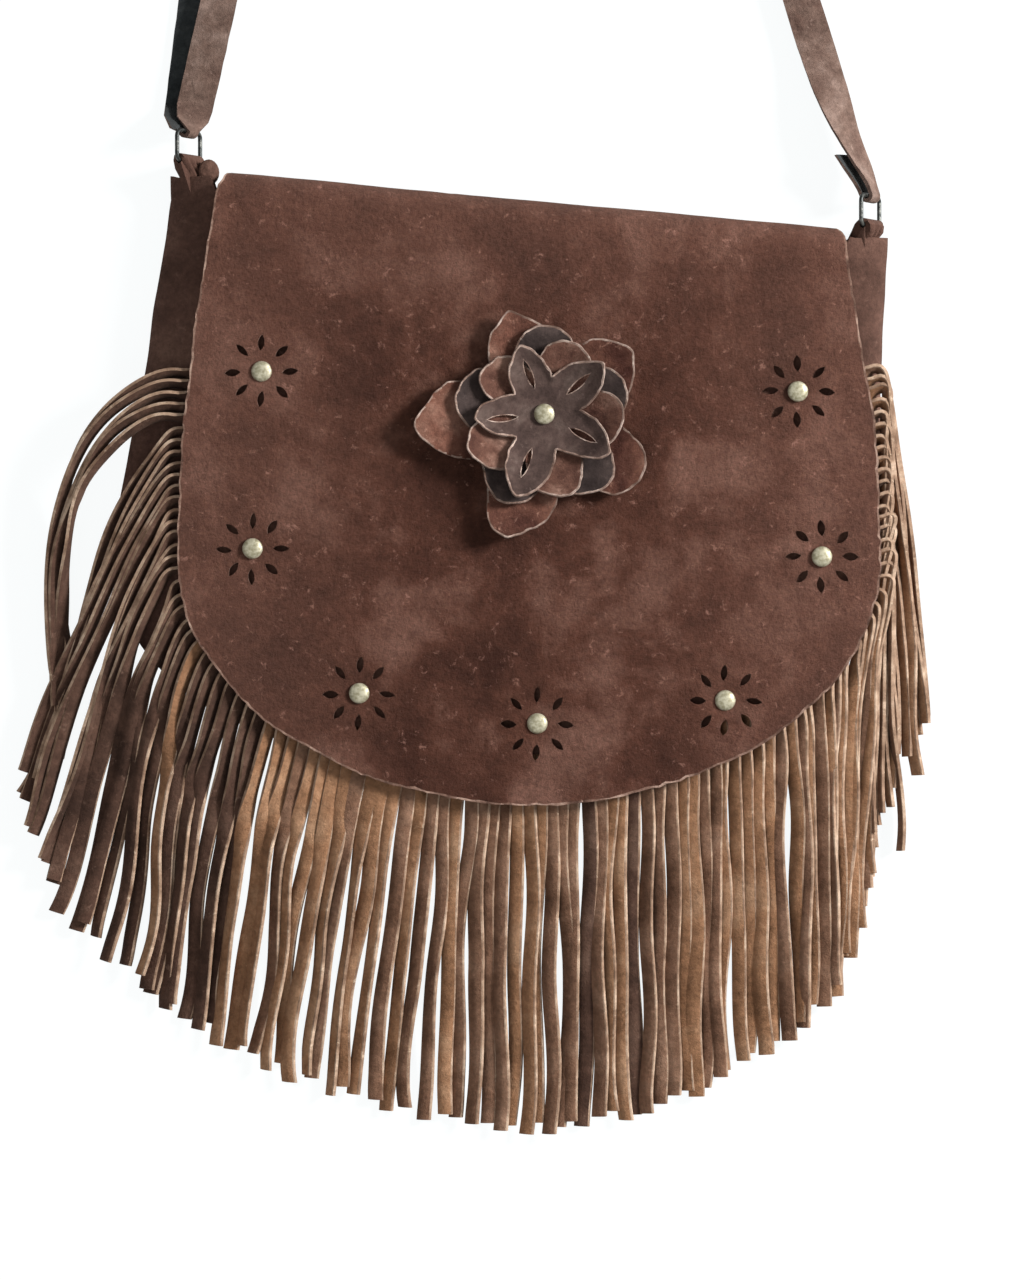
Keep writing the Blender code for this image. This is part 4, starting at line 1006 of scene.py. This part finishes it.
def fringe_band(name, node, first, last):
    """One length of fringe, from its first to its last strip."""
    around = 2 * len(across_places)
    cut_sides = (len(across_places) - 2, len(across_places) - 1, around - 1)
    points = []
    faces = []
    face_finishes = []
    for strip in range(first, last):
        strip_points, tone = fringe_strip(strip)
        rows = len(strip_points) // around
        start = len(points)
        points += strip_points
        faces += grid_faces(start, rows, around, True)
        tones = [2 if edge in cut_sides else tone for edge in range(around)]
        face_finishes += tones * (rows - 1)
        for end in (start, start + around * (rows - 1)):
            faces.append(tuple(end + edge for edge in range(around)))
            face_finishes.append(2)
    solid_piece(name, points, faces, fringe_finishes, face_finishes, node, 40)


left_count = int(strip_total * left_share)
right_first = strip_total - int(strip_total * right_share)
fringe_band("left_fringe", "fringe_left", 0, left_count)
fringe_band("bottom_fringe", "fringe_bottom", left_count, right_first)
fringe_band("right_fringe", "fringe_right", right_first, strip_total)


# Wire rings: a thin blackened wire bent to a rectangle with round corners, one at each side. The strap turns
# round its upper bar and the bag's tab round its lower one.
wire_radius = 0.0009
wire_sides = 12
ring_half_height = 0.0105 / 2 + wire_radius
ring_half_length = 0.0162 / 2 + wire_radius
ring_corner = 0.0026
ring_turn = math.radians(62)
ring_bar = Vector((math.cos(ring_turn), 0.0, -math.sin(ring_turn)))
ring_face = Vector((math.sin(ring_turn), 0.0, math.cos(ring_turn)))
ring_places = {"left": Vector((-0.1400, 0.1450, fold_radius)), "right": Vector((0.1394, 0.1185, fold_radius))}
dark_wire = worn_metal_finish(
    "dark_wire", 0.9, 420.0, 5.0, (0.45, (0.045, 0.048, 0.046)), (0.75, (0.22, 0.22, 0.20)), (0.30, 0.55)
)

for side, middle in ring_places.items():
    stations = []
    for corner in range(4):
        across = 1 if corner in (0, 3) else -1
        upward = 1 if corner in (0, 1) else -1
        for step in range(9):
            turn = math.pi / 2 * (corner + step / 8)
            out = ring_bar * math.cos(turn) + Vector((0.0, 1.0, 0.0)) * math.sin(turn)
            bend = ring_bar * across * (ring_half_length - ring_corner)
            bend = bend + Vector((0.0, upward * (ring_half_height - ring_corner), 0.0))
            stations.append((middle + bend + out * ring_corner, out))
    points = []
    for point, out in stations:
        for turn in [2 * math.pi * k / wire_sides for k in range(wire_sides)]:
            points.append(point + (out * math.cos(turn) + ring_face * math.sin(turn)) * wire_radius)
    faces = grid_faces(0, len(stations), wire_sides, True)
    last = wire_sides * (len(stations) - 1)
    for k in range(wire_sides):
        after = (k + 1) % wire_sides
        faces.append((last + k, last + after, after, k))
    solid_piece(f"wire_ring_{side}", points, faces, [dark_wire], (), f"ring_{side}", 40)


# Ring tabs: a strip of the body suede looped round the ring's lower bar, gathered and sewn to the raised end
# of the gusset, so it stands in small folds under the wire. The left one bulges out in a low lobe as well.
tab_width = 0.0150
tab_thickness = 0.0056
wire_fit = 0.0004
tab_foot_rise = 0.0020
tab_slices = 24
tab_gathers = 3.3
tab_narrowing = 0.30
tab_foot_shift = Vector((0.0030, 0.0, -0.0052))
lobe_middle = Vector((-0.1316, 0.1342, 0.0150))
lobe_half_width = 0.0042
lobe_half_length = 0.0052
lobe_rise = 0.0016
lobe_wall = Vector((0.0, 0.0, -0.0030))
lobe_sides = 20
lobe_rings = 6
for side, middle in ring_places.items():
    hand = -1 if side == "left" else 1
    bar_y = middle.y - ring_half_height
    foot_y = line_y(hand * back_half_top, mouth_below) + tab_foot_rise
    hole = wire_radius + wire_fit
    rounds = 20
    outer = []
    inner = []
    for step in range(rounds + 1):
        turn = math.pi * step / rounds
        outer.append((tab_thickness / 2 * math.cos(turn), bar_y + tab_thickness / 2 * math.sin(turn)))
    for step in range(1, 6):
        outer.append((-tab_thickness / 2, bar_y + (foot_y - bar_y) * step / 5))
    for step in range(1, 5):
        outer.append((-tab_thickness / 2 + tab_thickness * step / 4, foot_y))
    for step in range(1, 5):
        outer.append((tab_thickness / 2, foot_y + (bar_y - foot_y) * step / 5))
    count = len(outer)
    for step in range(count):
        turn = 2 * math.pi * step / count
        inner.append((hole * math.cos(turn), bar_y + hole * math.sin(turn)))
    points = []
    for cut in range(tab_slices + 1):
        place = cut / tab_slices - 0.5
        gather = 0.5 + 0.5 * math.cos(2 * math.pi * (place * tab_gathers + 0.2 * hand))
        for across, height in outer:
            fold = 1.0 + (0.55 - 0.85 * gather) * smooth((bar_y + 0.002 - height) / 0.004)
            ragged = 0.0008 * noise.noise(Vector((height * 500, across * 900, hand * 3.0 + place * 2)))
            low = smooth((bar_y - height) / 0.008)
            along = place * tab_width * (1 - tab_narrowing * low) - 0.0012 * low
            foot_shift = Vector((-hand * tab_foot_shift.x * low, height - middle.y, tab_foot_shift.z * low))
            points.append(middle + ring_face * across * fold + ring_bar * (along + ragged) + foot_shift)
        for across, height in inner:
            points.append(middle + ring_face * across + ring_bar * place * tab_width
                          + Vector((0.0, height - middle.y, 0.0)))
    faces = []
    for cut in range(tab_slices):
        first = cut * 2 * count
        second = (cut + 1) * 2 * count
        for k in range(count):
            after = (k + 1) % count
            faces.append((first + k, first + after, second + after, second + k))
            bore_first = first + count
            bore_second = second + count
            faces.append((bore_first + after, bore_first + k, bore_second + k, bore_second + after))
    for first in (0, tab_slices * 2 * count):
        for k in range(count):
            after = (k + 1) % count
            faces.append((first + k, first + after, first + count + after, first + count + k))
    if side == "left":
        first = len(points)
        for ring in range(1, lobe_rings + 1):
            swing = math.pi / 2 * ring / lobe_rings
            spread = math.sin(swing)
            for k in range(lobe_sides):
                turn = 2 * math.pi * k / lobe_sides
                spot = lobe_middle + Vector((lobe_half_width * spread * math.cos(turn),
                                             lobe_half_length * spread * math.sin(turn), 0.0))
                crease = 0.0009 * noise.noise(Vector((spot.x * 420, spot.y * 420, 3.0))) * (1 - spread**4)
                points.append(spot + Vector((0.0, 0.0, lobe_rise * math.cos(swing) + crease)))
        points += [point + lobe_wall for point in points[-lobe_sides:]]
        last = len(points) - lobe_sides
        faces += grid_faces(first, lobe_rings + 1, lobe_sides, True)
        faces.append(tuple(range(first, first + lobe_sides)))
        faces.append(tuple(range(last, last + lobe_sides)))
    solid_piece(f"gathered_tab_{side}", points, faces, [body_suede], (), f"ring_tab_{side}", 60)


# Strap: one long band of suede, its back a dark slate. It turns round the left ring, passes the adjuster,
# stands on its edge through the arch and turns round the right ring, where its end is sewn back.
strap_width = 0.0148
strap_suede = 0.0016
turn_radius = 0.0440
strap_lie = 0.0017
left_run = math.radians(12.6)
right_run = math.radians(17.2)
strap_spread = 0.0100
tip_start = 0.175
ring_twist = 0.075
left_ring_twist = 0.009
right_run_shift = 0.0028
adjuster_up = 0.155
adjuster_length = 0.0200
adjuster_bar = 0.0022
adjuster_metal = 0.0012
turned_end = 0.018
sewn_back = 0.016
back_layer_length = 0.140
right_end_width = 0.52
left_end_width = 0.35
bar_nearest = 0.0020
right_end_taper = 0.013
left_end_taper = 0.0075
across_steps = 6
fuzz_height = 0.00022
loop_radius = wire_radius + wire_fit + strap_suede / 2
layer_step = strap_suede + seam_gap
edge_z = strap_width / 2 + seam_gap
bar_stack = 2 * (strap_suede / 2 + seam_gap) + adjuster_metal
front_lie = strap_lie + bar_stack + layer_step
up_z = Vector((0.0, 0.0, 1.0))
left_bar = ring_places["left"] + Vector((0.0, ring_half_height, 0.0))
right_bar = ring_places["right"] + Vector((0.0, ring_half_height, 0.0))
left_up = Vector((math.sin(left_run), math.cos(left_run), 0.0))
right_up = Vector((-math.sin(right_run), math.cos(right_run), 0.0))
left_in = Vector((math.cos(left_run), -math.sin(left_run)))
right_in = Vector((-math.cos(right_run), -math.sin(right_run)))
left_sum = turn_radius + left_in.dot(left_bar.xy)
right_sum = turn_radius + right_in.dot(right_bar.xy)
determinant = left_in.x * right_in.y - left_in.y * right_in.x
arch = Vector(
    (
        (left_sum * right_in.y - left_in.y * right_sum) / determinant,
        (left_in.x * right_sum - left_sum * right_in.x) / determinant,
        0.0,
    )
)


def facing(up, turned):
    """Across and face directions of a run, flat at 0 and as the ring's bar lies at 1."""
    across = Vector((up.y, -up.x, 0.0)).lerp(ring_bar, turned).normalized()
    return across, across.cross(up).normalized()


def strap_layer(bar, up, travelled, spread, side):
    """A station of the front (1) or back (-1) layer near a ring."""
    turned = 1.0 - smooth(travelled / (ring_twist if up.x < 0 else left_ring_twist))
    across, face = facing(up, turned)
    lie = front_lie if side > 0 else strap_lie
    point = Vector((bar.x, bar.y, 0.0)) + up * travelled - across * spread * strap_spread
    point = point + face * side * loop_radius * turned
    point.z += lie + (fold_radius - lie) * turned
    return point, across, face * side


def strap_round(bar, up):
    """Half a turn round a ring's bar, from the back layer to the front one."""
    across, face = facing(up, 1.0)
    below = across.cross(face)
    made = []
    for step in range(1, 8):
        turn = math.pi * step / 8
        out = face * -math.cos(turn) + below * math.sin(turn)
        made.append((bar + out * loop_radius, across, out))
    return made


def strap_tipped(foot, up, travelled, tip, hand):
    """A station of a run that tips from lying flat to standing on its edge."""
    across, face = facing(up, 0.0)
    point = Vector((foot.x, foot.y, 0.0)) + up * travelled
    point.z = front_lie + (edge_z - front_lie) * tip
    turn = math.pi / 2 * tip
    side = across * hand * math.cos(turn) - up_z * math.sin(turn)
    return point, side, face * math.cos(turn) + across * hand * math.sin(turn)


def even_run(start, end, steps):
    return [start + (end - start) * step / steps for step in range(steps + 1)]


strap_stations = []
flat_across, _ = facing(left_up, 0.0)
bar_centre = Vector((left_bar.x, left_bar.y, 0.0)) + left_up * adjuster_up
for back in (sewn_back, sewn_back - 0.010):
    strap_stations.append((bar_centre - left_up * back + up_z * (strap_lie + bar_stack), flat_across, up_z))
for step in range(9):
    turn = math.pi / 2 - math.pi * step / 8
    out = left_up * math.cos(turn) + up_z * math.sin(turn)
    middle = bar_centre + left_up * adjuster_bar / 2 + up_z * (strap_lie + bar_stack / 2)
    strap_stations.append((middle + out * bar_stack / 2, flat_across, out))
last_flat = adjuster_up - adjuster_length / 2
for travelled in even_run(back_layer_length, 0.0, 28):
    spread = min(0.42 + 0.58 * travelled / 0.060, 1.0) * smooth((last_flat - travelled) / 0.090)
    strap_stations.append(strap_layer(left_bar, left_up, travelled, spread, -1))
strap_stations.extend(strap_round(left_bar, left_up))
for travelled in even_run(0.0, tip_start, 34):
    strap_stations.append(strap_layer(left_bar, left_up, travelled, 0.0, 1))
left_length = (arch - Vector((left_bar.x, left_bar.y, 0.0))).dot(left_up)
right_length = (arch - Vector((right_bar.x, right_bar.y, 0.0))).dot(right_up)
for share in even_run(0.0, 1.0, 24)[1:]:
    travelled = tip_start + (left_length - tip_start) * share
    strap_stations.append(strap_tipped(left_bar, left_up, travelled, smooth(share), 1))
arch_start = math.pi - left_run
for share in even_run(0.0, 1.0, 36)[1:-1]:
    turn = arch_start - (arch_start - right_run) * share
    out = Vector((math.cos(turn), math.sin(turn), 0.0))
    strap_stations.append((arch + out * turn_radius + up_z * edge_z, -up_z, -out))
for share in even_run(1.0, 0.0, 40):
    travelled = ring_twist + (right_length - ring_twist) * share
    strap_stations.append(strap_tipped(right_bar, right_up, travelled, smooth(share), -1))
strap_ending = []
for travelled in even_run(ring_twist, 0.0, 18)[1:]:
    strap_ending.append(strap_layer(right_bar, right_up, travelled, 0.0, 1))
strap_ending.extend(reversed(strap_round(right_bar, right_up)))
for travelled in even_run(0.0, turned_end, 6):
    strap_ending.append(strap_layer(right_bar, right_up, travelled, 0.3 * travelled / turned_end, -1))
for point, across, face in strap_ending:
    strap_stations.append((point, -across, face))

strap_finishes = (
    suede_finish("strap_suede", (0.100, 0.058, 0.045), (0.160, 0.102, 0.080), (0.240, 0.165, 0.135),
                 1.0, 70.0),
    suede_finish("strap_slate_back", (0.020, 0.023, 0.024), (0.032, 0.036, 0.037), (0.050, 0.054, 0.054),
                 0.4, 70.0, 0.15),
    suede_finish("strap_cut_edge", (0.100, 0.062, 0.050), (0.155, 0.100, 0.080), (0.230, 0.160, 0.130),
                 0.8, 90.0, 0.3),
)
points = []
around = 2 * (across_steps + 1)
for index, (centre, across, face) in enumerate(strap_stations):
    left_near = (centre - left_bar).length
    right_near = (centre - right_bar).length
    end_width = right_end_width + (1 - right_end_width) * smooth((right_near - bar_nearest) / right_end_taper)
    if left_near < bar_nearest + left_end_taper:
        inside_taper = 1 - max(left_near - bar_nearest, 0.0) / left_end_taper
        end_width = left_end_width + (1 - left_end_width) * math.sqrt(1 - inside_taper**2)
    if centre.x > 0.0:
        inwards = right_run_shift * smooth(right_near / 0.030) * smooth((0.42 - centre.y) / 0.12)
        centre = centre - Vector((inwards, 0.0, 0.0))
    for sign, columns in ((1, range(across_steps + 1)), (-1, range(across_steps, -1, -1))):
        for column in columns:
            place = (column / across_steps - 0.5) * end_width
            rounded = 1.0 - 0.35 * (abs(place) * 2) ** 6
            fuzz = fuzz_height * noise.noise(Vector((index * 1.7, place * 3.0, 6.0)))
            points.append(
                centre + across * (place * strap_width + fuzz * (abs(place) > 0.45))
                + face * sign * strap_suede / 2 * rounded
            )
last = around * (len(strap_stations) - 1)
faces = grid_faces(0, len(strap_stations), around, True)
faces += [tuple(reversed(range(around))), tuple(range(last, last + around))]
round_tones = [0] * across_steps + [2] + [1] * across_steps + [2]
face_finishes = round_tones * (len(strap_stations) - 1) + [2, 2]
solid_piece("shoulder_strap", points, faces, strap_finishes, face_finishes, "strap", 50)


# Adjuster: a cast metal slide on the strap's left side. The turned end of the strap is held on its middle
# bar and the long run passes over that and under its two outer bars. It keeps its CAD shape, blackened.
slide_finishes = bpy.data.objects["strap_adjuster"].data.materials
slide_finishes.clear()
slide_finishes.append(dark_wire)
